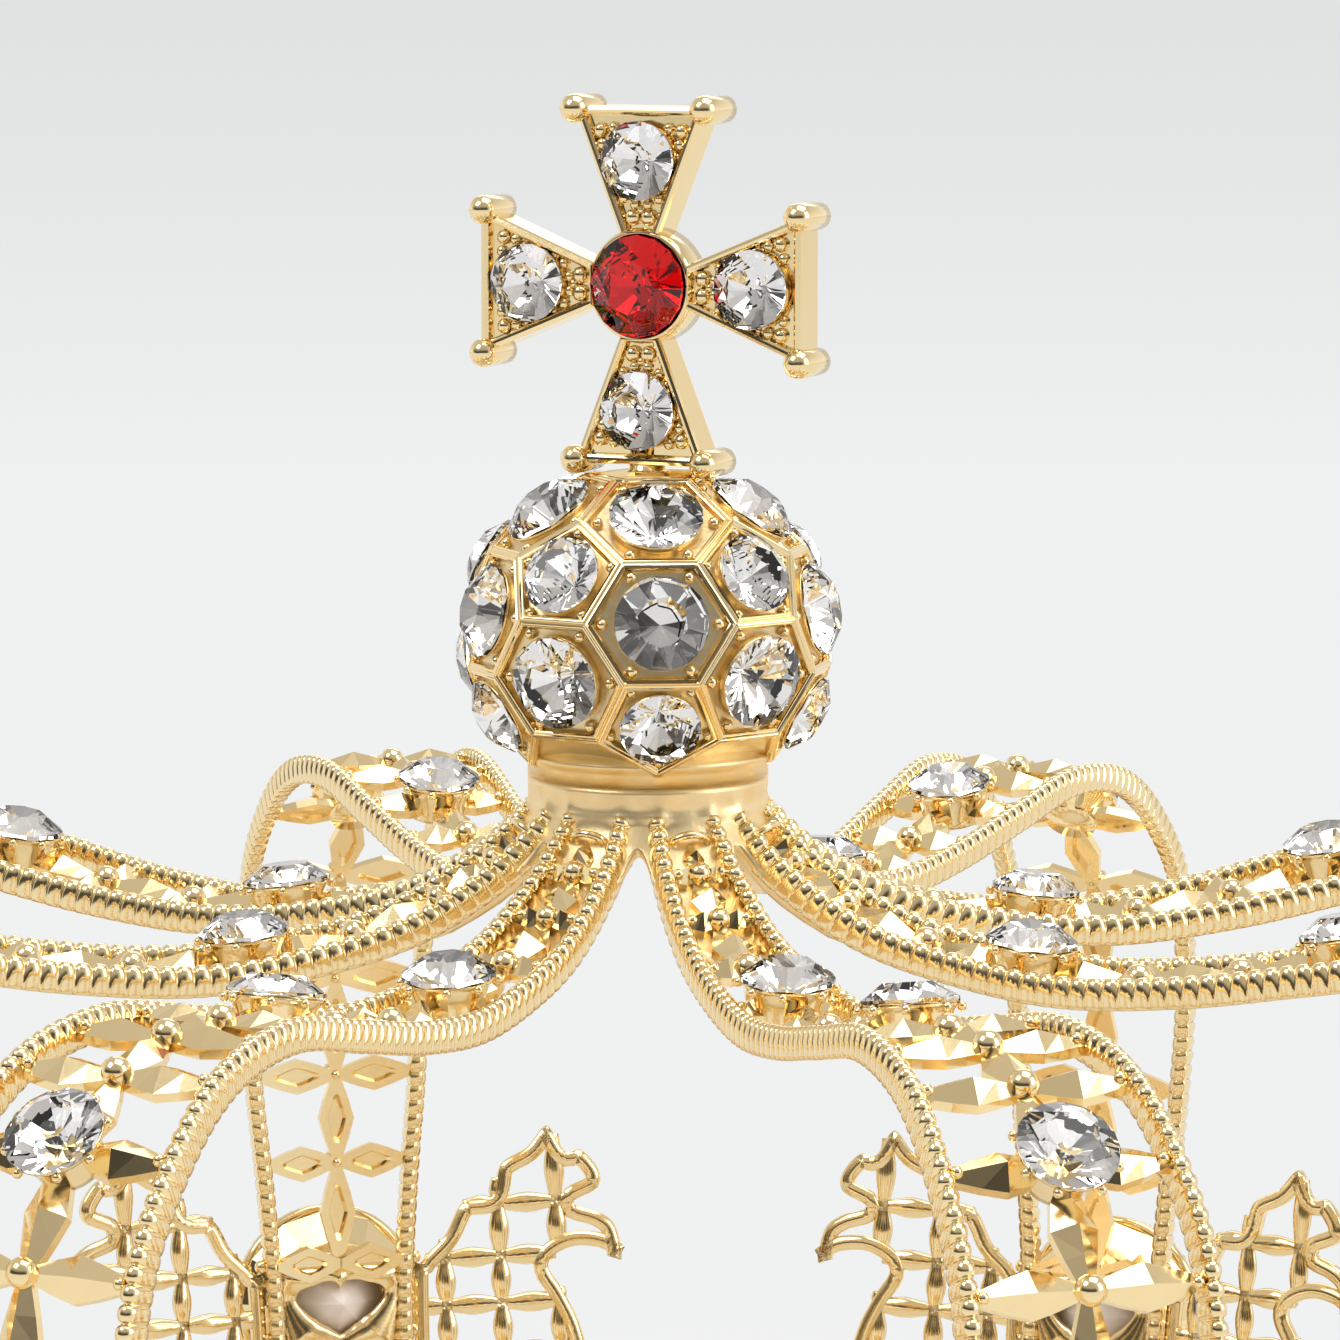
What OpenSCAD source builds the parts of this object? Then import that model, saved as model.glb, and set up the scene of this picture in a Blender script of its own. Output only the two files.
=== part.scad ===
// Arched crown: a plain hoop carries eight pierced arches that rise, dip and
// gather in a dished collar under a jewelled orb with a flared cross on top.
// Z is up, the hoop stands on Z = 0 and the cross faces -Y.

/* [Hoop] */
// Inner radius of the hoop
hoop_r = 77.5; // [70:0.5:84]
// Wall of the hoop
hoop_wall = 1.6; // [1.2:0.1:3]
// Height of the hoop
hoop_h = 22; // [10:1:30]
// Radius of the round rims at its upper and lower edge
hoop_rim = 1.1; // [0.6:0.1:2]

/* [Arches] */
// Radius of the crown over the arch rails at the widest place
arch_reach = 85; // [82:0.5:95]
// Height of the arch roots above the hoop
arch_rise = 84.4; // [76:0.2:100]
// Radius at which the arches leave the collar
root_r = 8.5; // [8:0.1:10]
// Half the spacing of the two rails at the root
root_half_w = 2; // [1.8:0.1:2.2]
// Half the spacing of the two rails at the shoulder
arch_half_w = 7.7; // [7:0.1:9]
// Width of a rail
rail_w = 1.4; // [1:0.1:1.8]
// Depth of a rail
rail_d = 2.2; // [1.6:0.1:3]
// Width of a lozenge of the spine and crossbars
lozenge_w = 3; // [1.6:0.1:3.2]
// Width of the spine where two lozenges meet
knot_w = 1.2; // [0.8:0.1:1.5]

/* [Foot plates] */
// Outer radius of the round cup at each arch foot
foot_cup_r = 8; // [7.4:0.1:9]
// Radius of its back, against the rails
foot_back_r = 5.8; // [4.5:0.1:7]
// Thickness of the plate behind it
foot_plate = 1; // [0.6:0.1:1.4]

/* [Leaf wings] */
// Reach of a wing from the rail to its tip
leaf_w = 17.8; // [14:0.2:22]
// Height of a wing above the hoop
leaf_h = 44.2; // [38:0.2:50]
// Thickness of a wing
leaf_t = 1; // [0.6:0.1:1.4]
// Width of the strands along the edge and across a wing
strand_w = 1; // [0.7:0.1:1.4]
// Turn of a wing back along the crown's round
leaf_turn = 10.6; // [0:0.2:16]

/* [Collar] */
// Radius of the collar's neck
neck_r = 8.1; // [7:0.1:8.3]
// Height of the collar's top above the arch roots
neck_h = 1.8; // [1.4:0.1:3]
// Wall of the collar
collar_wall = 1.2; // [0.8:0.1:1.8]
// Radius at which the notches between the arches start
notch_from = 10.4; // [9.8:0.1:12]

/* [Orb] */
// Edge length of the orb's cells
cell_edge = 5.3; // [5:0.05:5.6]
// Depth of the cells between the ribs
cell_depth = 0.5; // [0.3:0.05:0.8]
// Half the width of a rib between two cells
rib_half_w = 0.45; // [0.3:0.05:0.6]
// Radius of the orb's round base
orb_base_r = 8.9; // [8.4:0.1:9.4]
// Height of the orb's centre above its base
orb_centre_h = 9.8; // [9.2:0.1:11]
// Height of the ball as a share of its width
orb_flat = 0.92; // [0.88:0.01:1]

/* [Cross] */
// Width and height of the cross
cross_span = 26.7; // [22:0.1:32]
// Thickness of the cross
cross_t = 3; // [2.4:0.1:4]
// Width of an arm between the centres of its end balls
arm_end_w = 10.1; // [8.6:0.1:11]
// Width of an arm beside the centre
arm_waist_w = 3.5; // [2.6:0.1:4.4]
// Radius of the balls at the corners
ball_r = 1.05; // [0.8:0.05:1.3]
// Radius of the round rim about the centre stone
boss_r = 4.1; // [3.9:0.1:4.6]
// Width of the raised rim along an arm
cross_rim = 0.8; // [0.5:0.1:1]
// Height of the lowest arm's end above the orb's top cell
cross_sit = 0.95; // [0.8:0.01:1.4]
// Depth of the sunken field inside that rim
field_depth = 0.6; // [0.3:0.1:1]

/* [Stones] */
// Diameter of the stones on the arches
arch_stone_d = 6.4; // [5:0.1:7]
// Height of their girdles above the rails
arch_stone_lift = 1.2; // [1:0.1:2.8]
// Diameter of the large stones at the arch feet
foot_stone_d = 14; // [11:0.2:14.6]
// Height of their girdles above the rails
foot_stone_lift = 3.4; // [3:0.1:4.4]
// Diameter of the stones in the orb's six-sided cells
hex_stone_d = 6.6; // [5:0.05:7]
// Diameter of the stones in the orb's five-sided cells
pent_stone_d = 5.7; // [4:0.05:5.9]
// Height of the orb stones' girdles above the ribs
orb_stone_lift = 0.5; // [0.3:0.05:1]
// Diameter of the clear stones on the cross
arm_stone_d = 5.6; // [4:0.1:5.8]
// Diameter of the red stone at the centre of the cross
red_stone_d = 7.2; // [6:0.1:7.4]
// Height of the cross stones' girdles above its front
cross_stone_lift = 0.3; // [0.2:0.05:0.8]

/* [Fits] */
// Clearance between two pieces that seat on each other
seat_gap = 0.15; // [0.1:0.01:0.2]

/* [Hidden] */
ARCHES = 8;
STONES_PER_ARCH = 3;
CROSS_ARMS = 4;
numbered = function(name, count) [for (i = [1:count]) str(name, "_", i)];
$fn = 64;
EPS = 0.01;
GOLD = "#e3bf78";
CLEAR = "#e8eef2";
RED = "#c8142a";
CUP_SIDES = 8;
FOOT_SIDES = 12;
STONE_SIDES = 8;
FINE_SIDES = 24;
RIM_SIDES = 32;
COLLAR_SIDES = 96;
HOOP_SIDES = 180;

// Heights, from the hoop up
foot_z = hoop_h + seat_gap;
root_z = foot_z + arch_rise;
collar_top = root_z + neck_h;
orb_base_z = collar_top + seat_gap;
orb_z = orb_base_z + orb_centre_h;
// From the orb's centre to its faces, per edge of a cell
HEX_REACH = 2.267;
PENT_REACH = 2.327;
hex_plane = cell_edge * HEX_REACH;
pent_plane = cell_edge * PENT_REACH;
ball_at = cross_span / 2 - ball_r;
cross_z = orb_z + orb_flat * pent_plane + cross_sit + ball_at;

// Course of an arch, as rows of shares.
// OUT runs from the root, or on the leg from the hoop, to the reach.
// UP is the height above the hoop and WIDE the spread from root to shoulder.
OUT = 0;
UP = 1;
WIDE = 2;
arm_rows = [
    [0, 1, 0],
    [0.05, 0.96, 0.09],
    [0.13, 0.92, 0.19],
    [0.22, 0.90, 0.30],
    [0.33, 0.89, 0.42],
    [0.45, 0.90, 0.54],
    [0.57, 0.92, 0.67],
    [0.70, 0.94, 0.79],
    [0.82, 0.925, 0.89],
    [0.91, 0.875, 0.96],
    [0.975, 0.80, 1],
    [1, 0.69, 0.98]
];
leg_rows = [
    [1, 0.58, 0.89],
    [0.93, 0.47, 0.74],
    [0.82, 0.365, 0.64],
    [0.62, 0.26, 0.63],
    [0.33, 0.155, 0.63],
    [0.05, 0.07, 0.63],
    [0, 0, 0.63]
];
foot_r = hoop_r + rail_d + seat_gap;
function course(rows, inner_r) = [for (row = rows) [
    inner_r + row[OUT] * (arch_reach - inner_r),
    foot_z + row[UP] * arch_rise,
    root_half_w + row[WIDE] * (arch_half_w - root_half_w)
]];
arch_course = concat(course(arm_rows, root_r), course(leg_rows, foot_r));
arch_end = len(arch_course) - 1;
leg_start = len(arm_rows) - 1;

// Smooth curve through the rows; t counts rows from the root.
function blend(a, b, c, d, u) =
    0.5 * (2 * b + (c - a) * u + (2 * a - 5 * b + 4 * c - d) * u * u + (3 * b - a - 3 * c + d) * u * u * u);
function row_at(i) = arch_course[min(max(i, 0), arch_end)];
function arch_at(t) = let (i = min(floor(t), arch_end - 1))
    blend(row_at(i - 1), row_at(i), row_at(i + 1), row_at(i + 2), t - i);
function arch_line(t) = let (p = arch_at(t)) [p[0], p[1]];
function half_w(t) = arch_at(t)[2];
function unit(v) = v / norm(v);
function arch_dir(t) = unit(arch_line(min(t + 0.05, arch_end)) - arch_line(max(t - 0.05, 0)));
function arch_out(t) = let (d = arch_dir(t)) [-d[1], d[0]];
function off_arch(t, height) = arch_line(t) + height * arch_out(t);
function in_space(p, y) = [p[0], y, p[1]];

// Stations along the arch, in rows: where lozenges meet, and the foot's cup
arm_knots = [0.9, 1.6, 2.5, 3.5, 4.4, 5.2, 6.05, 6.7, 7.4, 8.1, 9, 10.05, 11.05, 11.95, 12.75, 13.7];
leg_knots = [15, 16.4, 17.8];
arch_stone_at = [for (k = [3, 6, 10]) arm_knots[k]];
foot_at = 14.1;
plate_from = arm_knots[len(arm_knots) - 1];
plate_to = leg_knots[0] + 0.1;
crossbar_at = concat([arm_knots[0]], arch_stone_at, [arm_knots[12], leg_knots[2]]);
bends = [0, 0.7, 1.5, 2.5, 3.7, 5, 6.2, 7.2, 8, 8.6, 9.2, 9.8, 10.4];
rings = concat(bends, [for (t = [leg_start:arch_end]) t]);

// Places of the orb's cells round the vertical axis: azimuth and elevation
ORB_TURN = -95;
AROUND = 5;
FIFTH = 360 / AROUND;
upper = 52.62;
middle = 10.81;
pent_rise = 26.57;
function fifths(start, elevation) = [for (k = [0:AROUND - 1]) [start + k * FIFTH, elevation]];
hex_cells_up = concat(fifths(ORB_TURN + FIFTH / 2, upper), fifths(ORB_TURN + FIFTH / 2, middle));
hex_cells = concat(hex_cells_up, fifths(ORB_TURN, -middle));
pent_cells_up = fifths(ORB_TURN, pent_rise);
pent_cells_down = fifths(ORB_TURN + FIFTH / 2, -pent_rise);
pent_cells = concat(pent_cells_up, pent_cells_down);

// Outline of a leaf wing, from the foot of the rail round to its inner edge.
// SIDE is a share of the wing's reach and TALL a share of its height.
SIDE = 0;
TALL = 1;
leaf_rows = [
    [0, 0], [0.17, 0], [0.3, 0.09], [0.52, 0.2], [0.72, 0.34], [0.83, 0.48],
    [0.8, 0.6], [0.72, 0.68], [0.65, 0.735], [0.76, 0.765], [0.9, 0.76], [1, 0.735],
    [0.98, 0.8], [0.9, 0.83], [0.78, 0.85], [0.9, 0.875], [0.91, 0.91], [0.83, 0.95],
    [0.75, 0.95], [0.67, 1], [0.57, 0.96], [0.44, 0.93], [0.39, 0.87], [0.25, 0.86],
    [0.16, 0.8], [0.04, 0.75], [0, 0.68]
];
leaf_edge = [for (row = leaf_rows) [row[SIDE] * leaf_w, row[TALL] * leaf_h]];
leaf_waist = 0.74 * leaf_h;
// Place of the wing's hinge line and its lean with the leg of the arch
leaf_set = 0.5 * (rail_d - leaf_t);
leaf_y = half_w(arch_end) + rail_w / 2 + seat_gap + leaf_t * sin(leaf_turn);
leg_chord = arch_line(arch_end - 4) - arch_line(arch_end);
leaf_lean = atan2(leg_chord[0], leg_chord[1]);

// Skin over a list of rings that have the same number of points
module skin(rings) {
    sides = len(rings[0]);
    last = len(rings) - 1;
    walls = [for (i = [0:last - 1], j = [0:sides - 1])
        [i * sides + j, i * sides + (j + 1) % sides, (i + 1) * sides + (j + 1) % sides, (i + 1) * sides + j]];
    start_cap = [for (j = [sides - 1:-1:0]) j];
    end_cap = [for (j = [0:sides - 1]) last * sides + j];
    polyhedron([for (ring = rings) each ring], concat(walls, [start_cap, end_cap]));
}

// Faces of the flattened ball: their tilt, their way from the centre and their squeeze down the slope
function face_rise(cell) = cell[1] == 90 ? 90 : atan(tan(cell[1]) / orb_flat);
function face_far(cell, plane) = plane / norm([cos(cell[1]), sin(cell[1]) / orb_flat]);
function face_squeeze(cell) = norm([sin(cell[1]), orb_flat * cos(cell[1])]);
module aim(cell) rotate([0, 90 - face_rise(cell), cell[0]]) children();
// Places a piece on the middle of a face, with its +Z square to it
module on_face(cell, plane) {
    out = plane * cos(cell[1]);
    up = orb_flat * plane * sin(cell[1]);
    translate([out * cos(cell[0]), out * sin(cell[0]), up]) aim(cell) children();
}

// Places a piece on the arch's outer line, with its +Z square to the arch
module at_station(t) {
    p = arch_line(t);
    n = arch_out(t);
    translate([p[0], 0, p[1]]) rotate([0, atan2(n[0], n[1]), 0]) children();
}

module at_arch(i) rotate([0, 0, 360 / ARCHES * (i - 1) - 90]) children();

// A cut stone: pavilion, thin girdle, crown and table, girdle on Z = 0
STONE_PAVILION = 0.4;
STONE_CROWN = 0.18;
STONE_TABLE = 0.56;
STONE_GIRDLE = 0.03;
function stone_ring(r, z) = [for (k = [0:STONE_SIDES - 1])
    [r * cos(k * 360 / STONE_SIDES), r * sin(k * 360 / STONE_SIDES), z]];
module stone(d) {
    levels = [
        [d / 2, -STONE_GIRDLE / 2 * d],
        [d / 2, STONE_GIRDLE / 2 * d],
        [STONE_TABLE * d / 2, STONE_CROWN * d]
    ];
    n = STONE_SIDES;
    tip = len(levels) * n;
    pavilion = [for (j = [0:n - 1]) [tip, j, (j + 1) % n]];
    bands = [for (i = [0:len(levels) - 2], j = [0:n - 1])
        [i * n + j, (i + 1) * n + j, (i + 1) * n + (j + 1) % n, i * n + (j + 1) % n]];
    table = [[for (j = [n - 1:-1:0]) tip - n + j]];
    rings = [for (level = levels) each stone_ring(level[0], level[1])];
    points = concat(rings, [[0, 0, -STONE_PAVILION * d]]);
    polyhedron(points, concat(pavilion, bands, table));
}
// The hollow under it: the pavilion's cone, grown and sunk to leave the clearance all over
SEAT_SINK = 1.6;
module stone_seat(d, sides) {
    deep = STONE_PAVILION * d;
    wide = d / 2 / cos(180 / sides);
    grown = 1 + 2 * seat_gap / deep;
    translate([0, 0, -deep - SEAT_SINK * seat_gap])
        cylinder(h = deep * grown, r1 = 0, r2 = wide * grown, $fn = sides);
}

// Hoop
module band() {
    color(GOLD) rotate_extrude($fn = HOOP_SIDES) {
        translate([hoop_r, 0]) square([hoop_wall, hoop_h]);
        for (z = [hoop_rim, hoop_h - hoop_rim])
            intersection() {
                translate([hoop_r + hoop_wall, z]) circle(r = hoop_rim, $fn = RIM_SIDES);
                translate([hoop_r + hoop_wall / 2, 0]) square([hoop_wall + hoop_rim, hoop_h]);
            }
    }
}

// Collar: neck and dish under the arch roots
dish_from = 0.9;
dish_to = 2.1;
dish_step = 0.3;
lip_h = 0.6;
neck_above = 0.2;
neck_below = 1.2;
neck_inside = 2.4;
function dish_line(under) = [for (t = [dish_from:dish_step:dish_to]) off_arch(t, -under)];
function collar_outside(grow) = concat(
    [[orb_base_r + grow, collar_top + grow], [orb_base_r + grow, collar_top - lip_h - grow],
        [neck_r + grow, root_z + neck_above], [neck_r + grow, root_z - neck_below]],
    dish_line(rail_d + seat_gap - grow)
);
dish_inside = dish_line(rail_d + seat_gap + collar_wall);
collar_inside = concat(
    [for (i = [len(dish_inside) - 1:-1:0]) dish_inside[i]],
    [[neck_r - collar_wall, root_z - neck_inside], [neck_r - collar_wall, collar_top - collar_wall]]
);
// Wedges between the arches, where the dish draws in towards the neck
notch_over = 1.2;
notch_far = notch_over * arch_line(dish_to)[0];
notch_half_w = notch_far * tan(180 / ARCHES) - (half_w(dish_to) + rail_w) / cos(180 / ARCHES);
module notch() {
    low = off_arch(dish_to, -2 * rail_d - collar_wall)[1];
    translate([0, 0, low]) linear_extrude(collar_top)
        polygon([[notch_from, 0], [notch_far, -notch_half_w], [notch_far, notch_half_w]]);
}
module collar() {
    color(GOLD) difference() {
        rotate_extrude($fn = COLLAR_SIDES) polygon(concat(
            [[0, collar_top]],
            collar_outside(0),
            collar_inside,
            [[0, collar_top - collar_wall]]
        ));
        for (i = [1:ARCHES]) rotate(360 / ARCHES * (i - 0.5)) notch();
    }
}
module collar_space() {
    rotate_extrude($fn = COLLAR_SIDES / 2) polygon(concat(
        [[0, collar_top + seat_gap]],
        collar_outside(seat_gap),
        [[0, off_arch(dish_to, -rail_d)[1]]]
    ));
}

// One rail of an arch, side -1 or 1
module rail(side) {
    skin([for (t = rings)
        let (outer = arch_line(t), inner = off_arch(t, -rail_d), y = side * half_w(t))
        [
            in_space(outer, y - rail_w / 2),
            in_space(outer, y + rail_w / 2),
            in_space(inner, y + rail_w / 2),
            in_space(inner, y - rail_w / 2)
        ]
    ]);
}

// Spine: a chain of lozenges, ridged outside and flat inside
ridge_deep = 0.1;
knot_deep = 0.8;
base_deep = 1.7;
function spine_ring(t, width, deep) = [
    in_space(off_arch(t, -base_deep), -width / 2),
    in_space(off_arch(t, -deep), 0),
    in_space(off_arch(t, -base_deep), width / 2)
];
module spine(knots) {
    skin(concat(
        [for (k = [0:len(knots) - 2], half = [0, 1])
            half == 0
                ? spine_ring(knots[k], knot_w, knot_deep)
                : spine_ring((knots[k] + knots[k + 1]) / 2, lozenge_w, ridge_deep)],
        [spine_ring(knots[len(knots) - 1], knot_w, knot_deep)]
    ));
}

// Half a crossbar: one lozenge from just past the spine's middle to a rail
bar_w = 1;
bar_past = 0.25;
bar_ridge = 0.2;
bar_neck = 0.9;
bar_base = 1.6;
bar_slice = 0.2;
module bar_section(y, width, deep) {
    translate([0, y + bar_slice / 2, 0]) rotate([90, 0, 0])
        linear_extrude(bar_slice) polygon([[-width / 2, -bar_base], [width / 2, -bar_base], [0, -deep]]);
}
module crossbar(t, side) {
    span = half_w(t);
    at_station(t) hull() {
        bar_section(-side * bar_past, bar_w, bar_neck);
        bar_section(side * span / 2, lozenge_w, bar_ridge);
        bar_section(side * span, bar_w, bar_neck);
    }
}

// Tapered cup that carries an arch stone
cup_back_share = 0.36;
cup_top_share = 0.46;
cup_below_girdle = 0.6;
cup_deep = 1.9;
module arch_cup(t) {
    at_station(t) translate([0, 0, -cup_deep])
        cylinder(h = arch_stone_lift + cup_deep - cup_below_girdle, r1 = cup_back_share * arch_stone_d,
            r2 = cup_top_share * arch_stone_d, $fn = CUP_SIDES);
}

// Round cup at the foot of the arch and the plate behind it
foot_deep = 0.6;
plate_deep = 2;
module foot_cup() {
    at_station(foot_at) translate([0, 0, -foot_deep])
        cylinder(h = foot_stone_lift + foot_deep - cup_below_girdle, r1 = foot_back_r, r2 = foot_cup_r,
            $fn = FOOT_SIDES);
    skin([for (t = [plate_from, plate_to])
        let (outer = off_arch(t, foot_plate - plate_deep), inner = off_arch(t, -plate_deep), y = half_w(t))
        [in_space(outer, -y), in_space(outer, y), in_space(inner, y), in_space(inner, -y)]
    ]);
}
// Three-sided window in that plate
window_r = 3.4;
window_at = foot_at + 0.15;
module foot_window() {
    at_station(window_at) translate([0, 0, -2 * rail_d])
        cylinder(h = 2 * rail_d - foot_plate / 2, r = window_r, $fn = 3);
}

module arch() {
    color(GOLD) difference() {
        union() {
            for (side = [-1, 1]) {
                rail(side);
                for (t = crossbar_at) crossbar(t, side);
            }
            spine(arm_knots);
            spine(leg_knots);
            for (t = arch_stone_at) arch_cup(t);
            foot_cup();
        }
        for (t = arch_stone_at)
            at_station(t) translate([0, 0, arch_stone_lift]) stone_seat(arch_stone_d, STONE_SIDES);
        at_station(foot_at) translate([0, 0, foot_stone_lift]) stone_seat(foot_stone_d, STONE_SIDES);
        foot_window();
        collar_space();
        translate([0, 0, -EPS]) cylinder(h = foot_z + EPS, r = 2 * arch_reach);
    }
}

// Leaf wing: openwork plate beside the foot of an arch
function inward(points, i, d) =
    let (
        n = len(points),
        before = unit(points[i] - points[(i + n - 1) % n]),
        after = unit(points[(i + 1) % n] - points[i]),
        turn = unit([-before[1] - after[1], before[0] + after[0]])
    )
    points[i] + d * turn;
leaf_hole = [for (i = [0:len(leaf_edge) - 1]) inward(leaf_edge, i, strand_w)];
module leaf_shape() {
    difference() {
        polygon(leaf_edge);
        difference() {
            polygon(leaf_hole);
            translate([0, leaf_waist - strand_w / 2]) square([leaf_w, strand_w]);
        }
    }
}
module wing() {
    translate([foot_r - leaf_set, leaf_y, foot_z]) rotate([0, leaf_lean, 0]) rotate([0, 0, leaf_turn])
        rotate([90, 0, 90]) translate([0, 0, -leaf_t]) linear_extrude(leaf_t) leaf_shape();
}
module leaves() {
    color(GOLD) {
        wing();
        mirror([0, 1, 0]) wing();
    }
}

// Orb: a ball of five and six-sided cells, each with a sunken floor and a cup
module slab(cell, plane) {
    wide = 4 * plane;
    aim(cell) cube([wide, wide, 2 * face_far(cell, plane)], center = true);
}
module cell_ball() {
    intersection() {
        slab([0, 90], pent_plane);
        intersection_for(cell = hex_cells_up) slab(cell, hex_plane);
        intersection_for(cell = pent_cells_up) slab(cell, pent_plane);
    }
}
HEX_SIDES = 6;
hex_half = 180 / HEX_SIDES;
pent_half = 180 / AROUND;
hex_pocket_r = (cell_edge / 2 / tan(hex_half) - rib_half_w) / cos(hex_half);
pent_pocket_r = (cell_edge / 2 / tan(pent_half) - rib_half_w) / cos(pent_half);
orb_cup_share = 0.44;
rim_h = 1.3;
rim_out = 0.3;
skirt_h = 2.7;
module pocket(cell, plane, sides, r, turn) {
    squeeze = face_squeeze(cell);
    on_face(cell, plane) translate([0, 0, -cell_depth]) linear_extrude(2 * cell_depth)
        polygon([for (k = [0:sides - 1])
            let (a = turn + k * 360 / sides) [squeeze * r * cos(a), r * sin(a)]]);
}
module cell_cup(cell, plane, d) {
    on_face(cell, plane) translate([0, 0, -2 * cell_depth])
        cylinder(h = 2 * cell_depth + orb_stone_lift - cup_below_girdle, r = orb_cup_share * d,
            $fn = FINE_SIDES);
}
module orb() {
    color(GOLD) translate([0, 0, orb_z]) difference() {
        union() {
            difference() {
                cell_ball();
                for (cell = hex_cells) pocket(cell, hex_plane, HEX_SIDES, hex_pocket_r, hex_half);
                for (cell = pent_cells_up) pocket(cell, pent_plane, AROUND, pent_pocket_r, pent_half);
                for (cell = pent_cells_down) pocket(cell, pent_plane, AROUND, pent_pocket_r, 0);
                translate([0, 0, -orb_centre_h - hex_plane])
                    cylinder(h = hex_plane, r = 2 * hex_plane);
            }
            translate([0, 0, -orb_centre_h]) {
                cylinder(h = rim_h, r = orb_base_r);
                cylinder(h = skirt_h, r = orb_base_r - rim_out);
            }
            for (cell = hex_cells) cell_cup(cell, hex_plane, hex_stone_d);
            for (cell = pent_cells) cell_cup(cell, pent_plane, pent_stone_d);
        }
        for (cell = hex_cells)
            on_face(cell, hex_plane) translate([0, 0, orb_stone_lift])
                stone_seat(hex_stone_d, FINE_SIDES);
        for (cell = pent_cells)
            on_face(cell, pent_plane) translate([0, 0, orb_stone_lift])
                stone_seat(pent_stone_d, FINE_SIDES);
    }
}
module orb_stones() {
    color(CLEAR) translate([0, 0, orb_z]) {
        for (cell = hex_cells)
            on_face(cell, hex_plane) translate([0, 0, orb_stone_lift]) stone(hex_stone_d);
        for (cell = pent_cells)
            on_face(cell, pent_plane) translate([0, 0, orb_stone_lift]) stone(pent_stone_d);
    }
}

// Cross: four flared arms with sunken fields, corner balls and a centre boss
arm_from = 2.2;
arm_slope = (arm_end_w - arm_waist_w) / 2 / (ball_at - boss_r);
function arm_half(x) = arm_waist_w / 2 + arm_slope * (x - boss_r);
arm_stone_x = 0.71 * ball_at;
module arm_outline(x0, x1, inset) {
    polygon([
        [x0, -arm_half(x0) + inset], [x1, -arm_half(x1) + inset],
        [x1, arm_half(x1) - inset], [x0, arm_half(x0) - inset]
    ]);
}
module four_arms() for (k = [0:CROSS_ARMS - 1]) rotate(90 * k) children();
module on_cross() translate([0, 0, cross_z]) rotate([90, 0, 0]) children();
post_r = 1.3;
module ball_rod() {
    translate([0, 0, -cross_t / 2]) cylinder(h = cross_t, r = ball_r, $fn = FINE_SIDES);
    for (z = [-cross_t / 2, cross_t / 2]) translate([0, 0, z]) sphere(r = ball_r, $fn = FINE_SIDES);
}
module cross() {
    front = cross_t / 2;
    color(GOLD) on_cross() difference() {
        union() {
            difference() {
                translate([0, 0, -front]) linear_extrude(cross_t) union() {
                    four_arms() arm_outline(arm_from, ball_at, 0);
                    circle(r = boss_r);
                }
                translate([0, 0, front - field_depth]) linear_extrude(2 * field_depth)
                    four_arms() arm_outline(boss_r, ball_at - cross_rim, cross_rim);
            }
            rotate([90, 0, 0]) translate([0, 0, ball_at - post_r])
                cylinder(h = post_r + cross_sit - seat_gap, r = post_r, $fn = RIM_SIDES);
            four_arms() {
                for (side = [-1, 1]) translate([ball_at, side * arm_end_w / 2, 0]) ball_rod();
                translate([arm_stone_x, 0, 0])
                    cylinder(h = front + cross_stone_lift - cup_below_girdle / 2,
                        r = orb_cup_share * arm_stone_d, $fn = RIM_SIDES);
            }
        }
        translate([0, 0, front + cross_stone_lift]) {
            four_arms() translate([arm_stone_x, 0, 0]) stone_seat(arm_stone_d, RIM_SIDES);
            stone_seat(red_stone_d, RIM_SIDES);
        }
    }
}
module cross_stone(k) {
    color(CLEAR) on_cross() rotate(90 * k)
        translate([arm_stone_x, 0, cross_t / 2 + cross_stone_lift]) stone(arm_stone_d);
}
module red_stone() {
    color(RED) on_cross() translate([0, 0, cross_t / 2 + cross_stone_lift]) stone(red_stone_d);
}

module arch_stone(n) {
    i = ceil(n / STONES_PER_ARCH);
    t = arch_stone_at[(n - 1) % STONES_PER_ARCH];
    color(CLEAR) at_arch(i) at_station(t) translate([0, 0, arch_stone_lift]) stone(arch_stone_d);
}
module foot_stone() {
    color(CLEAR) at_station(foot_at) translate([0, 0, foot_stone_lift]) stone(foot_stone_d);
}

band();
collar();
orb();
orb_stones();
cross();
red_stone();
for (i = [1:ARCHES]) {
    at_arch(i) arch();
    at_arch(i) leaves();
    at_arch(i) foot_stone();
}
for (k = [1:CROSS_ARMS])
    cross_stone(k);
for (n = [1:ARCHES * STONES_PER_ARCH])
    arch_stone(n);
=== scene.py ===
"""Looks of the arched crown: pierced gold arches, cut stones, a jewelled orb and a flared cross.

Lengths are worked out in millimetres in the frame of the CAD model and poured into meshes in metres.
"""
from math import atan2, copysign, cos, hypot, pi, radians, sin, sqrt

import bmesh
import bpy
import numpy as np
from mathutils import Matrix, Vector


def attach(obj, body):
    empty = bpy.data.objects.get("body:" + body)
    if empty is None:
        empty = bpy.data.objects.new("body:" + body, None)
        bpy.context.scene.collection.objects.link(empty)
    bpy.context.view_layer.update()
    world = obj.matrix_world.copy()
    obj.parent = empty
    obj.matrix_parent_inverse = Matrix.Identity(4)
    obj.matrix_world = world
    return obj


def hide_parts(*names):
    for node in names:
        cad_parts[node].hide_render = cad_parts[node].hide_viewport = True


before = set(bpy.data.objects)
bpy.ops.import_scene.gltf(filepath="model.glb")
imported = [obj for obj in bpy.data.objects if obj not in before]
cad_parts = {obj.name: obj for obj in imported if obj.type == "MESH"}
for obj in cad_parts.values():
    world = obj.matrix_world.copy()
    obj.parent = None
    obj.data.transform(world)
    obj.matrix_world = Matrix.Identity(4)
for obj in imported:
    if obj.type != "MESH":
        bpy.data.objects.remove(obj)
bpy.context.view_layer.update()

MM = 0.001
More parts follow.
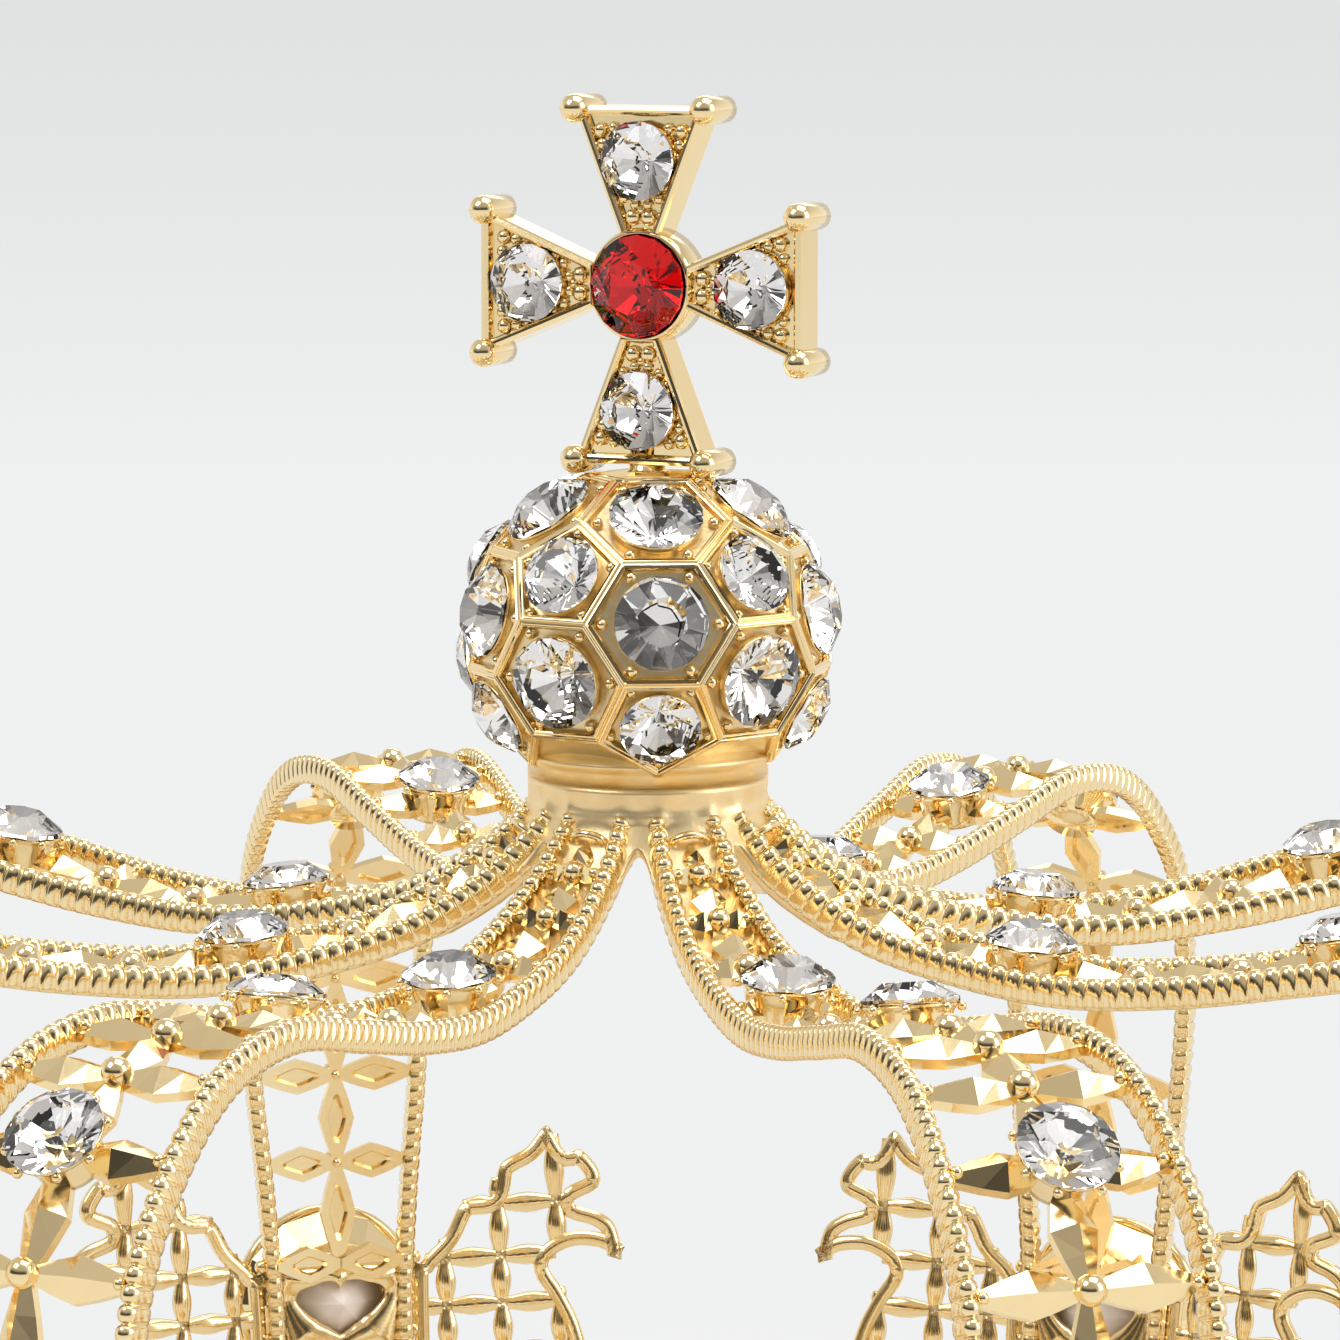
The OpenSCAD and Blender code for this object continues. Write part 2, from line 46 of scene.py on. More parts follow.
TAU = 2 * pi
ARCHES = 8

# Sizes of the crown, as in the CAD source
HOOP_R, HOOP_WALL, HOOP_H, HOOP_RIM = 77.5, 1.6, 22.0, 1.1
ARCH_REACH, ARCH_RISE, ROOT_R = 85.0, 84.4, 8.5
ROOT_HALF_W, ARCH_HALF_W, RAIL_W, RAIL_D = 2.0, 7.7, 1.4, 2.2
LOZENGE_W = 3.0
SEAT_GAP = 0.15
FOOT_CUP_R, FOOT_BACK_R, FOOT_STONE_D, FOOT_STONE_LIFT = 8.0, 5.8, 14.0, 3.4
LEAF_W, LEAF_H, LEAF_T, LEAF_TURN = 17.8, 44.2, 1.0, 10.6
NECK_R, NECK_H = 8.1, 1.8
CELL_EDGE, ORB_BASE_R, ORB_CENTRE_H, ORB_FLAT = 5.3, 8.9, 9.8, 0.92
CROSS_SPAN, CROSS_T, ARM_END_W, ARM_WAIST_W = 26.7, 3.0, 10.1, 3.5
BALL_R, BOSS_R, CROSS_SIT, FIELD_DEPTH = 1.05, 4.1, 0.95, 0.6
ARCH_STONE_D, ARCH_STONE_LIFT = 6.4, 1.2
HEX_STONE_D, PENT_STONE_D, ORB_STONE_LIFT = 6.6, 5.7, 0.5
ARM_STONE_D, RED_STONE_D, CROSS_STONE_LIFT = 5.6, 7.2, 0.3
STONE_TABLE, STONE_CROWN, STONE_DEPTH, STONE_GIRDLE = 0.54, 0.18, 0.4, 0.03
FOOT_Z = HOOP_H + SEAT_GAP
ROOT_Z = FOOT_Z + ARCH_RISE
COLLAR_TOP = ROOT_Z + NECK_H
ORB_Z = COLLAR_TOP + SEAT_GAP + ORB_CENTRE_H
HEX_PLANE, PENT_PLANE = 2.267 * CELL_EDGE, 2.327 * CELL_EDGE
BALL_AT = CROSS_SPAN / 2 - BALL_R
CROSS_Z = ORB_Z + ORB_FLAT * PENT_PLANE + CROSS_SIT + BALL_AT
FOOT_R = HOOP_R + RAIL_D + SEAT_GAP


# Meshes
class Casting:
    """Gathers surfaces, each an array of points and of faces, and pours them into one mesh, with
    every shell's faces turned outwards."""

    def __init__(self):
        self.points, self.faces, self.smooth, self.slots, self.count = [], [], [], [], 0

    def add(self, points, faces, smooth=True, slot=0):
        """Adds points and blocks of faces; the slot is one for all, or one entry for each block."""
        points = np.reshape(points, (-1, 3))
        slots = slot if isinstance(slot, tuple) else [slot] * len(faces)
        for block, slot in zip(faces, slots):
            self.faces += (block + self.count).tolist()
            self.smooth.append(np.full(len(block), smooth))
            self.slots.append(np.broadcast_to(slot, len(block)))
        self.points.append(points)
        self.count += len(points)

    def pour(self, name, materials, turn=0.0):
        """Makes the object, turned about the vertical axis, with the materials as its slots."""
        points = np.concatenate(self.points) @ turn_z(turn).T
        mesh = bpy.data.meshes.new(name)
        mesh.from_pydata((points * MM).tolist(), [], self.faces)
        shells = bmesh.new()
        shells.from_mesh(mesh)
        bmesh.ops.recalc_face_normals(shells, faces=shells.faces)
        shells.to_mesh(mesh)
        shells.free()
        mesh.polygons.foreach_set("use_smooth", np.concatenate(self.smooth))
        mesh.polygons.foreach_set("material_index", np.concatenate(self.slots).astype(np.int32))
        for material in materials:
            mesh.materials.append(material)
        mesh.update()
        return new_object(name, mesh)


def new_object(name, data):
    """Object in the scene for a mesh, light or camera."""
    made = bpy.data.objects.new(name, data)
    bpy.context.scene.collection.objects.link(made)
    return made


def turn_z(angle):
    """Matrix of a turn about the vertical axis."""
    c, s = cos(angle), sin(angle)
    return np.array([[c, -s, 0], [s, c, 0], [0, 0, 1.0]])


def unit(vectors):
    """Vectors brought to length one."""
    return vectors / np.linalg.norm(vectors, axis=-1, keepdims=True)


def turns(count):
    """Equal steps of one whole turn, from zero."""
    return np.arange(count) * TAU / count


def polar(r, angle, z):
    """Points at a radius, an angle about the vertical axis and a height."""
    return np.stack(np.broadcast_arrays(r * np.cos(angle), r * np.sin(angle), z), -1)


def spokes(seat, angle):
    """Unit vectors in the plane of a seat (origin, x, y, z), one for each angle."""
    return np.cos(angle)[:, None] * seat[1] + np.sin(angle)[:, None] * seat[2]


def catmull_rom(a, b, c, d, u):
    """Place at u between b and c on the smooth curve that runs through a, b, c and d."""
    return 0.5 * (2 * b + (c - a) * u + (2 * a - 5 * b + 4 * c - d) * u ** 2
                  + (3 * b - a - 3 * c + d) * u ** 3)


def strip_faces(rows, columns, round_rows=False, round_columns=True):
    """Quads between the points of a grid, numbered row by row; a round direction closes on itself."""
    i, j = np.arange(rows - (not round_rows))[:, None], np.arange(columns - (not round_columns))
    up, side = (i + 1) % rows, (j + 1) % columns
    corners = [i * columns + j, i * columns + side, up * columns + side, up * columns + j]
    return np.stack(corners, -1).reshape(-1, 4)


def capped(rows, columns):
    """Faces of a closed skin: the walls of a grid and one many-sided face at each end."""
    first = np.arange(columns)[::-1][None]
    last = ((rows - 1) * columns + np.arange(columns))[None]
    return [strip_faces(rows, columns), first, last]


def repeated(blocks, step, count):
    """The same blocks of faces for each of a number of like shapes, step points apart."""
    shift = (np.arange(count) * step)[:, None, None]
    return [(block[None] + shift).reshape(-1, block.shape[1]) for block in blocks]


def skin(casting, grid, smooth=True, slot=0, ring_shaped=False):
    """Tube over a grid of sections, grid[row, place round the section]. In a ring-shaped one the last
    section is joined to the first, and others get a face at each end."""
    rows, columns = grid.shape[:2]
    faces = [strip_faces(rows, columns, True)] if ring_shaped else capped(rows, columns)
    casting.add(grid, faces, smooth, slot)


def turned(casting, profile, sides, seat, smooth=True, slot=0, ring_shaped=False):
    """Surface of revolution: radius and height from the profile, swept round the z axis of a seat."""
    r, h = np.transpose(profile)[:, :, None, None]
    skin(casting, seat[0] + r * spokes(seat, turns(sides)) + h * seat[3], smooth, slot, ring_shaped)


def copies(casting, points, faces, places, sizes):
    """The same small shape at many places: place + size * the shape's points."""
    places = np.reshape(places, (-1, 3))
    sizes = np.broadcast_to(sizes, len(places))
    grown = places[:, None] + sizes[:, None, None] * points
    casting.add(grown, repeated(faces, len(points), len(places)))


def ball_shape(around, rings):
    """Unit ball: radius cos(latitude), height sin(latitude), with a pole at each end."""
    latitude = np.linspace(-pi / 2, pi / 2, rings + 2)[1:-1, None]
    grid = polar(np.cos(latitude), turns(around), np.sin(latitude)).reshape(-1, 3)
    points = np.concatenate([grid, [[0, 0, -1], [0, 0, 1]]])
    n = len(grid)
    j = np.arange(around)
    after = (j + 1) % around
    low = np.stack([np.full(around, n), after, j], -1)
    high = np.stack([np.full(around, n + 1), n - around + j, n - around + after], -1)
    return points, [strip_faces(rings, around), low, high]


BALL = ball_shape(12, 7)
GRAIN = ball_shape(8, 4)
UPRIGHT = np.eye(3)


# Course of an arch: how far out, how high and how wide, as shares, from the root down to the hoop
ARM_ROWS = [[0, 1, 0], [0.05, 0.96, 0.09], [0.13, 0.92, 0.19], [0.22, 0.90, 0.30], [0.33, 0.89, 0.42],
            [0.45, 0.90, 0.54], [0.57, 0.92, 0.67], [0.70, 0.94, 0.79], [0.82, 0.925, 0.89],
            [0.91, 0.875, 0.96], [0.975, 0.80, 1], [1, 0.69, 0.98]]
LEG_ROWS = [[1, 0.58, 0.89], [0.93, 0.47, 0.74], [0.82, 0.365, 0.64], [0.62, 0.26, 0.63],
            [0.33, 0.155, 0.63], [0.05, 0.07, 0.63], [0, 0, 0.63]]
STONE_AT = [3.5, 6.05, 9.0]
FOOT_AT = 14.1
ARM_KNOTS = np.array([0.9, 1.6, 2.5, 3.5, 4.4, 5.2, 6.05, 6.7, 7.4, 8.1, 9, 10.05, 11.05, 11.95, 12.75, 13.7])
LEG_KNOTS = np.array([15, 16.4, 17.8])
HOOD_AT = 0.42


def course(rows, inner_r):
    """Rows of shares made lengths: the radius grows from the inner one to the arch's reach."""
    out, up, wide = np.transpose(rows)
    return np.stack([inner_r + out * (ARCH_REACH - inner_r), FOOT_Z + up * ARCH_RISE,
                     ROOT_HALF_W + wide * (ARCH_HALF_W - ROOT_HALF_W)], -1)


COURSE = np.concatenate([course(ARM_ROWS, ROOT_R), course(LEG_ROWS, FOOT_R)])
ARCH_END = len(COURSE) - 1


def arch_at(t):
    """Catmull-Rom curve through the course; t counts rows. Gives radius, height and half width."""
    t = np.asarray(t, float)
    i = np.clip(np.floor(t), 0, ARCH_END - 1).astype(int)
    u = (t - i)[..., None]
    return catmull_rom(*(COURSE[np.clip(i + k, 0, ARCH_END)] for k in (-1, 0, 1, 2)), u)


def arch_frame(t):
    """Points on the outer line and unit vectors along, across and out of the arch, in its own plane."""
    t = np.asarray(t, float)
    here = arch_at(t)
    step = unit((arch_at(np.minimum(t + 0.05, ARCH_END)) - arch_at(np.maximum(t - 0.05, 0)))[..., :2])
    point, along = np.insert(here[..., :2], 1, 0, -1), np.insert(step, 1, 0, -1)
    across = np.broadcast_to([0.0, 1.0, 0.0], point.shape)
    return point, along, across, np.cross(along, across), here[..., 2]


def on_arch(t, side=0.0, height=0.0):
    """Points beside the arch's middle line: side across it and height out of it."""
    point, _, across, out, _ = arch_frame(t)
    return point + np.asarray(side)[..., None] * across + np.asarray(height)[..., None] * out


def seat_at(t, height=0.0):
    """Seat on the arch's middle line, with z out of it."""
    point, along, across, out, _ = arch_frame(t)
    return point + height * out, along, across, out


# Rails: a bar with a bead on its outer edge and a rib down each side, once per pitch
BEAD_PITCH, BEAD_R, BEAD_POWER, BEAD_FLANK = 1.2, 0.62, 2.6, 0.96
RAIL_PHASES = np.array([0, 0.18, 0.33, 0.44, 0.5, 0.56, 0.67, 0.82])
RAIL_SAMPLES = 3000
CAP_ANGLES = np.radians([0, 30, 60, 90, 120, 150, 180])
BAR_HALF, WAIST_SWELL, BACK_SWELL = 0.42, 0.27, 0.22
WAIST_TOP, WAIST_BOTTOM = -0.95, -1.85


def rail(casting, side):
    """Section: a half round cap on straight sides, down to a flat back. The cap's radius is
    R (1 - a^p)^(1/p), a going from 0 at a bead's centre to 1 halfway to the next, and the sides
    bulge in the same way."""
    t = np.linspace(0.0, ARCH_END, RAIL_SAMPLES)
    way = np.concatenate([[0], np.cumsum(np.linalg.norm(np.diff(arch_at(t), axis=0), axis=1))])
    pitches = round(way[-1] / BEAD_PITCH)
    bead = (np.arange(pitches)[:, None] + RAIL_PHASES).ravel()
    t = np.interp(bead / bead[-1] * way[-1], way, t)
    apart = 2 * np.minimum(bead % 1, 1 - bead % 1)
    rib = (1 - np.minimum(apart, BEAD_FLANK) ** BEAD_POWER) ** (1 / BEAD_POWER)
    cap = BEAD_R * rib
    waist = BAR_HALF + WAIST_SWELL * rib
    back = BAR_HALF + BACK_SWELL * rib
    y = [cap * cos(a) for a in CAP_ANGLES] + [-waist, -waist, -back, back, waist, waist]
    n = [cap * sin(a) - BEAD_R for a in CAP_ANGLES]
    n += [np.full(len(bead), level)
          for level in (WAIST_TOP, WAIST_BOTTOM, -RAIL_D, -RAIL_D, WAIST_BOTTOM, WAIST_TOP)]
    y, n = np.stack(y, 1)[..., None], np.stack(n, 1)[..., None]
    point, _, across, out, half = (v[:, None] for v in arch_frame(t))
    skin(casting, point + (side * half[..., None] + y) * across + n * out)


# Lozenges: four facets and a ridge outside, a flat back with a sunken slot. Heights are from the
# arch's outer line.
LOZENGE_RIDGE, LOZENGE_END, LOZENGE_EDGE, LOZENGE_BACK = 0.05, -0.85, -1.05, -1.7
LOZENGE_PLACES, LOZENGE_WIDTHS, LOZENGE_RISE = np.array(
    [[0, 0.28, 0.5, 0.72, 1], [0, 0.62, 1, 0.62, 0], [0, 0.56, 1, 0.56, 0]])
LOZENGE_THIN = 0.3
SLOT_RIM, SLOT_FLOOR, SLOT_DEPTH = 0.55, 0.42, 0.45
LOZENGE_OUTLINE = np.array([0, 5, 10, 15, 20, 24, 19, 14, 9, 4])


def lozenges(casting, start, end, out, width, base=LOZENGE_BACK):
    """Each is a row of five-sided sections between two points: the half width goes from thin to
    width / 2 and back, and the ridge from the ends' height to its own and back. The back's outline is
    repeated at a smaller scale, then sunk, for the slot."""
    start, end, out = (np.reshape(v, (-1, 3)) for v in (start, end, out))
    count = len(start)
    side = unit(np.cross(end - start, out))
    width, base = (np.broadcast_to(v, count)[:, None] for v in (width, base))
    half = LOZENGE_THIN + LOZENGE_WIDTHS * (width / 2 - LOZENGE_THIN)
    middle = start[:, None] + LOZENGE_PLACES[:, None] * (end - start)[:, None]
    top = LOZENGE_END + (LOZENGE_RIDGE - LOZENGE_END) * LOZENGE_RISE
    sections = [(-1, base), (-1, LOZENGE_EDGE), (0, top), (1, LOZENGE_EDGE), (1, base)]
    grid = np.stack([middle + (share * half)[..., None] * side[:, None]
                     + np.broadcast_to(high, half.shape)[..., None] * out[:, None]
                     for share, high in sections], 2)
    points = grid.reshape(count, 25, 3)
    hub = ((start + end) / 2 + base * out)[:, None]
    rim = points[:, LOZENGE_OUTLINE]
    slot = hub + SLOT_RIM * (rim - hub)
    sunk = hub + SLOT_FLOOR * (rim - hub) + SLOT_DEPTH * out[:, None]
    j = np.arange(10)
    after = (j + 1) % 10
    back = np.stack([LOZENGE_OUTLINE[j], LOZENGE_OUTLINE[after], 25 + after, 25 + j], -1)
    sink = np.stack([25 + j, 25 + after, 35 + after, 35 + j], -1)
    ends = np.array([[0, 1, 2, 3, 4], [24, 23, 22, 21, 20]])
    walls = strip_faces(5, 5, False, False)
    faces = [walls[:, ::-1], back[:, ::-1], sink[:, ::-1], ends, (35 + j)[None]]
    casting.add(np.concatenate([points, slot, sunk], 1), repeated(faces, 45, count), smooth=False)


CUP_INSIDE = [(0.97, 0.14), (0.95, 0.09), (0.9, 0.16)]
CUP_TIP_R, CUP_CLEAR, CUP_WALL = 0.04, 0.25, 0.6


def cup(casting, seat, d, lift, outside, sides):
    """Cup under a stone: its outside, a rolled rim under the girdle and a cone that stays clear of
    the stone's back. Radii, and depths inside, are shares of the stone's radius."""
    r, tip = d / 2, lift - STONE_DEPTH * d
    outside = [(share * r, high) for share, high in outside]
    inside = [(share * r, lift - deep * r) for share, deep in CUP_INSIDE]
    bottom = (CUP_TIP_R, min(outside[0][1], tip - CUP_WALL))
    turned(casting, [bottom] + outside + inside + [(CUP_TIP_R, tip - CUP_CLEAR)], sides, seat)


ARCH_CUP = [(0.64, -2.1), (0.7, -1.4), (0.76, -0.4), (0.86, 0.3), (0.93, 0.7)]
PRONG_ANGLES = np.radians([25, 65, 115, 155, 205, 245, 295, 335])
SPINE_SHARE, BAR_SHARE, FIRST_W = 0.95, 0.6, 1.6
BAR_LAP, BAR_SHORT, FOOT_BAR_BACK = 0.1, 0.3, -2.3
HOOD_R, HOOD_ROD, HOOD_RISE, HOOD_SUNK, HOOD_WAY, HOOD_PAST = 1.35, 0.26, 1.2, 1.1, 0.06, 0.3
KNOT_BALL_Z, FIRST_BALL_R = -0.75, 0.85
# Grains under the knots, beside them, and as prongs on a cup: how far in or out, height and radius
UNDER_Z, UNDER_R = -1.75, 0.4
BESIDE_IN, BESIDE_Z, BESIDE_R = 0.9, -0.7, 0.42
PRONGS_OUT, PRONG_SUNK, PRONG_R = 0.51 * ARCH_STONE_D, 0.55, 0.34


def arch_casting():
    """One arch along +X but for its foot: rails, spine, crossbars, hood, balls, grains and cups."""
    casting = Casting()
    for side in (-1, 1):
        rail(casting, side)
    for knots in (ARM_KNOTS, LEG_KNOTS):
        a, b = knots[:-1], knots[1:]
        out, half = arch_frame((a + b) / 2)[3:]
        lozenges(casting, on_arch(a), on_arch(b), out, np.minimum(LOZENGE_W, SPINE_SHARE * half))
    every = np.concatenate([ARM_KNOTS, LEG_KNOTS])
    point, _, across, out, half = arch_frame(every)
    base = np.where(every == ARM_KNOTS[-1], FOOT_BAR_BACK, LOZENGE_BACK)
    for side in (-1, 1):
        bar_end = point + (side * (half - BAR_SHORT))[:, None] * across
        lozenges(casting, point - BAR_LAP * side * across, bar_end, out,
                 np.minimum(LOZENGE_W, BAR_SHARE * half), base)
    lozenges(casting, *on_arch([HOOD_AT, ARM_KNOTS[0]]), arch_frame(HOOD_AT)[3], FIRST_W)
    a = np.linspace(-HOOD_PAST, pi + HOOD_PAST, 13)
    hood = []
    for b in turns(8):
        wide, tall = HOOD_R + HOOD_ROD * sin(b), HOOD_RISE + HOOD_ROD * sin(b)
        at = np.full(len(a), HOOD_AT + HOOD_WAY * cos(b))
        hood.append(on_arch(at, wide * np.cos(a), tall * np.sin(a) - HOOD_SUNK))
    skin(casting, np.stack(hood, 1))
    knots = every[~np.isin(every, STONE_AT)]
    copies(casting, *BALL, on_arch(knots, height=KNOT_BALL_Z), np.where(knots < 2, FIRST_BALL_R, 1.0))
    copies(casting, *GRAIN, on_arch(every, height=UNDER_Z), UNDER_R)
    for side in (-1, 1):
        copies(casting, *GRAIN, on_arch(every, side * (half - BESIDE_IN), BESIDE_Z), BESIDE_R)
    for t in STONE_AT:
        seat = seat_at(t)
        cup(casting, seat, ARCH_STONE_D, ARCH_STONE_LIFT, ARCH_CUP, 24)
        prongs = PRONGS_OUT * spokes(seat, PRONG_ANGLES) + (ARCH_STONE_LIFT - PRONG_SUNK) * seat[3]
        copies(casting, *GRAIN, seat[0] + prongs, PRONG_R)
    return casting


# Foot of an arch: profiles about its stone's axis as radius and height, and the window's radius by
# the angle from its upper notch, in degrees
FOOT_CONE = [(4.1, -1.0), (4.4, -1.1), (FOOT_BACK_R - 0.6, -0.3), (FOOT_CUP_R - 0.5, 2.3),
             (FOOT_CUP_R - 0.3, 2.6), (FOOT_CUP_R - 1.0, 2.5), (FOOT_BACK_R, 1.35), (4.0, -0.6)]
FOOT_FUNNEL = [(0.03, -2.5), (4.9, 1.02), (4.85, 1.12), (0.03, -2.38)]
FOOT_RIM = [(FOOT_CUP_R - inset, high) for inset, high in
            [(0.3, 2.3), (0, 2.55), (0, 3.0), (0.15, 3.3), (0.5, 3.4), (0.9, 3.2), (1.1, 2.7), (0.8, 2.3)]]
WINDOW_ANGLES = np.radians([0, 14, 34, 58, 72, 82, 100, 125, 150, 168, 180])
WINDOW_RADII = [1.1, 1.75, 2.15, 2.7, 3.7, 4.0, 3.2, 2.45, 2.3, 2.5, 2.75]
WINDOW_UP, PLATE_UP, PLATE_DOWN, PLATE_LAP, LIP_SHARE = 0.2, 3.3, 5.2, 0.2, 0.85
PLATE_BALLS_AT = (ARM_KNOTS[-1], LEG_KNOTS[0], 14.4)
PLATE_BALL_OUT, PLATE_BALL_Z, PLATE_BALL_R = 0.85, -1.2, 0.62
FOOT_GRAINS, FOOT_GRAIN_IN, FOOT_GRAIN_Z, FOOT_GRAIN_R = 36, 0.45, 3.35, 0.42


def foot_casting(casting):
    """Foot of an arch: a faceted cone that opens to a beaded rim about the stone, a painted funnel in it, and
    behind it a plate with a heart-shaped window. The funnel's rose and white paint is partly the stone's
    backing and partly painted light: it is as bright as it goes, to stand in for light shining through the
    stone. The window's edge is read from the table of angles, and the plate's outer edge is a rectangle."""
    seat = seat_at(FOOT_AT)
    turned(casting, FOOT_CONE, 12, seat, smooth=False, ring_shaped=True)
    # Funnel in slot 1: rose backing paint made as bright as it goes, as painted light shining through the
    # stone.
    turned(casting, FOOT_FUNNEL, 8, seat, smooth=False, slot=1)
    turned(casting, FOOT_RIM, 64, seat, ring_shaped=True)
    origin, x, y, z = seat
    grains = (FOOT_CUP_R - FOOT_GRAIN_IN) * spokes(seat, turns(FOOT_GRAINS)) + FOOT_GRAIN_Z * z
    copies(casting, *GRAIN, origin + grains, FOOT_GRAIN_R)
    a = turns(72)
    tall, wide = np.cos(a), np.sin(a)
    window_r = np.interp(np.minimum(a, TAU - a), WINDOW_ANGLES, WINDOW_RADII)
    window = np.stack([window_r * tall + WINDOW_UP, window_r * wide], -1)
    span = arch_at(FOOT_AT)[2] + PLATE_LAP
    reach = 1 / np.maximum(np.maximum(tall / PLATE_UP, -tall / PLATE_DOWN), np.abs(wide) / span)
    plate = np.stack([reach * tall, reach * wide], -1)
    lip = LIP_SHARE * window + (1 - LIP_SHARE) * plate
    rows = [(plate, -1.25), (lip, -1.05), (window, -1.2), (window, -1.95), (lip, -2.15), (plate, -1.95)]
    grid = np.stack([origin - flat[:, :1] * x + flat[:, 1:] * y + high * z for flat, high in rows])
    skin(casting, grid, ring_shaped=True)
    for t in PLATE_BALLS_AT:
        for side in (-1, 1):
            place = on_arch(t, side * (arch_at(t)[2] + PLATE_BALL_OUT), PLATE_BALL_Z)
            copies(casting, *BALL, place, PLATE_BALL_R)


# Cut stones
STONE_SIDES, WEDGE_DIP = 8, 0.02


def stone_shape():
    """Cut stone of unit diameter, girdle on zero: the table's corners, the upper and lower girdle of
    twice as many, and the tip. The crown has three facets to each corner. The back has one to each
    side of the lower girdle, whose every second corner dips, so that its wedges lean by turns."""
    sides = STONE_SIDES
    rim = turns(2 * sides)
    k, j = np.arange(sides), np.arange(2 * sides)
    low = -STONE_GIRDLE / 2 - WEDGE_DIP * (j % 2)
    points = np.concatenate([polar(STONE_TABLE / 2, turns(sides), STONE_CROWN),
                             polar(0.5, rim, STONE_GIRDLE / 2), polar(0.5, rim, low),
                             [[0, 0, -STONE_DEPTH]]])
    upper, lower, tip = sides, 3 * sides, 5 * sides
    beyond, before, ahead = (k + 1) % sides, (2 * k - 1) % (2 * sides), (j + 1) % (2 * sides)
    faces = [
        np.stack([k, upper + 2 * k + 1, beyond], -1),
        np.stack([k, upper + before, upper + 2 * k], -1),
        np.stack([k, upper + 2 * k, upper + 2 * k + 1], -1),
        k[None],
        np.stack([upper + j, lower + j, lower + ahead, upper + ahead], -1),
        np.stack([lower + j, np.full(2 * sides, tip), lower + ahead], -1)]
    return points, faces


STONE = stone_shape()
CRYSTAL_SLOTS = (0, 0, 0, 0, 0, 1)


def add_stone(casting, d, seat, turn=0.0):
    """Sets a stone of diameter d at a seat. Its crown and girdle take slot 0, its foiled back slot 1."""
    points, faces = STONE
    origin, x, y, z = seat
    c, s = cos(turn), sin(turn)
    axes = np.stack([c * x + s * y, -s * x + c * y, z], 1)
    casting.add(origin + d * points @ axes.T, faces, smooth=False, slot=CRYSTAL_SLOTS)


# Collar. Lengths by how far a place is from an arch, as a share of the way to the middle between two
COLLAR_SIDES, DISH_FROM, FLOOR_FROM = 192, 0.12, 0.2
DISH_REACH = ([0, 0.35, 1], [2.15, 1.9, 0.5])
DISH_UNDER = ([0.7, 0.95], [1.6, 0.9])
# Dish: its top is so far under the arches by place along them, and its wall so thick by share
DISH_SUNK = ([DISH_FROM, 0.5, 1.0], [0.45, 0.85, 1.6])
DISH_TOP_SHARES = (0.0, 0.12, 0.3, 0.5, 0.75, 0.92, 1.0)
DISH_WALLS = ((1.0, 0.75), (0.92, 1.1), (0.75, 1.1), (0.5, 1.1), (0.25, 1.1))
FLUTE_AT, FLUTE_WIDTH = 13.5, 4.5
# Neck, from the top down: radius, height, and how much the flutes swell it
NECK_ROWS = [(ORB_BASE_R - 0.4, COLLAR_TOP, 0), (ORB_BASE_R - 0.42, COLLAR_TOP - 0.35, 0),
             (NECK_R + 0.3, COLLAR_TOP - 0.9, 0.08), (NECK_R + 0.2, ROOT_Z + 0.5, 0.18),
             (NECK_R + 0.24, ROOT_Z + 0.1, 0.26), (NECK_R + 0.4, ROOT_Z - 0.3, 0.3)]
HOLLOW_ROWS = [(NECK_R - 1.2, ROOT_Z - 2.6), (NECK_R - 1.2, COLLAR_TOP - 1.2), (0.2, COLLAR_TOP - 1.2)]


def collar_casting():
    """Neck and dish: a profile turned about the axis. Past the neck it follows the underside of the
    arches, and its lip is drawn in between two arches by a cosine. Two flutes beside each arch swell
    the neck by a bell curve."""
    casting = Casting()
    angle = turns(COLLAR_SIDES)
    between = 0.5 - 0.5 * np.cos(ARCHES * angle)
    reach, under = np.interp(between, *DISH_REACH), np.interp(between, *DISH_UNDER)
    from_arch = np.degrees(np.abs((angle * ARCHES / TAU + 0.5) % 1 - 0.5) * TAU / ARCHES)
    flute = np.exp(-((from_arch - FLUTE_AT) / FLUTE_WIDTH) ** 2)

    def level(r, z, swell=0.0):
        return np.stack([r + swell * flute, np.full(COLLAR_SIDES, z)], -1)

    rows = [level(0.2, COLLAR_TOP)] + [level(*row) for row in NECK_ROWS]
    for share in DISH_TOP_SHARES:
        t = DISH_FROM + share * (reach - DISH_FROM)
        low = np.minimum(np.interp(t, *DISH_SUNK), under)
        rows.append(on_arch(t, height=-low)[:, [0, 2]])
    for share, wall in DISH_WALLS:
        t = FLOOR_FROM + share * (reach - FLOOR_FROM)
        rows.append(on_arch(t, height=-under - wall)[:, [0, 2]])
    line = np.stack(rows + [level(*row) for row in HOLLOW_ROWS])
    skin(casting, polar(line[..., 0], angle, line[..., 1]))
    return casting


# Orb. Directions of its cells are azimuth and elevation in degrees.
ORB_TURN, FIFTH = -95.0, 360 / 5
UPPER, MIDDLE, PENT_RISE = 52.62, 10.81, 26.57


def fifths(start, elevation):
    """Five directions round the axis, as azimuth and elevation."""
    return [(start + k * FIFTH, elevation) for k in range(5)]


ORB_HALF_TURN = ORB_TURN + FIFTH / 2
HEX_CELLS = fifths(ORB_HALF_TURN, UPPER) + fifths(ORB_HALF_TURN, MIDDLE) + fifths(ORB_TURN, -MIDDLE)
PENT_UP, PENT_DOWN = fifths(ORB_TURN, PENT_RISE), fifths(ORB_HALF_TURN, -PENT_RISE)
TOP_CELL, HEX_TURN = (0, 90), radians(30)
LOW_PANELS = fifths(ORB_TURN, -UPPER)


def round_seat(cell, plane):
    """Seat on a face of the round ball, by its azimuth and elevation, with x down the face."""
    az, el = radians(cell[0]), radians(cell[1])
    z, x = polar(cos(el), az, sin(el)), polar(sin(el), az, -cos(el))
    return plane * z, x, np.cross(z, x), z


def flattened(points):
    """The ball's points at their place, with their height drawn in."""
    return points * (1, 1, ORB_FLAT) + (0, 0, ORB_Z)


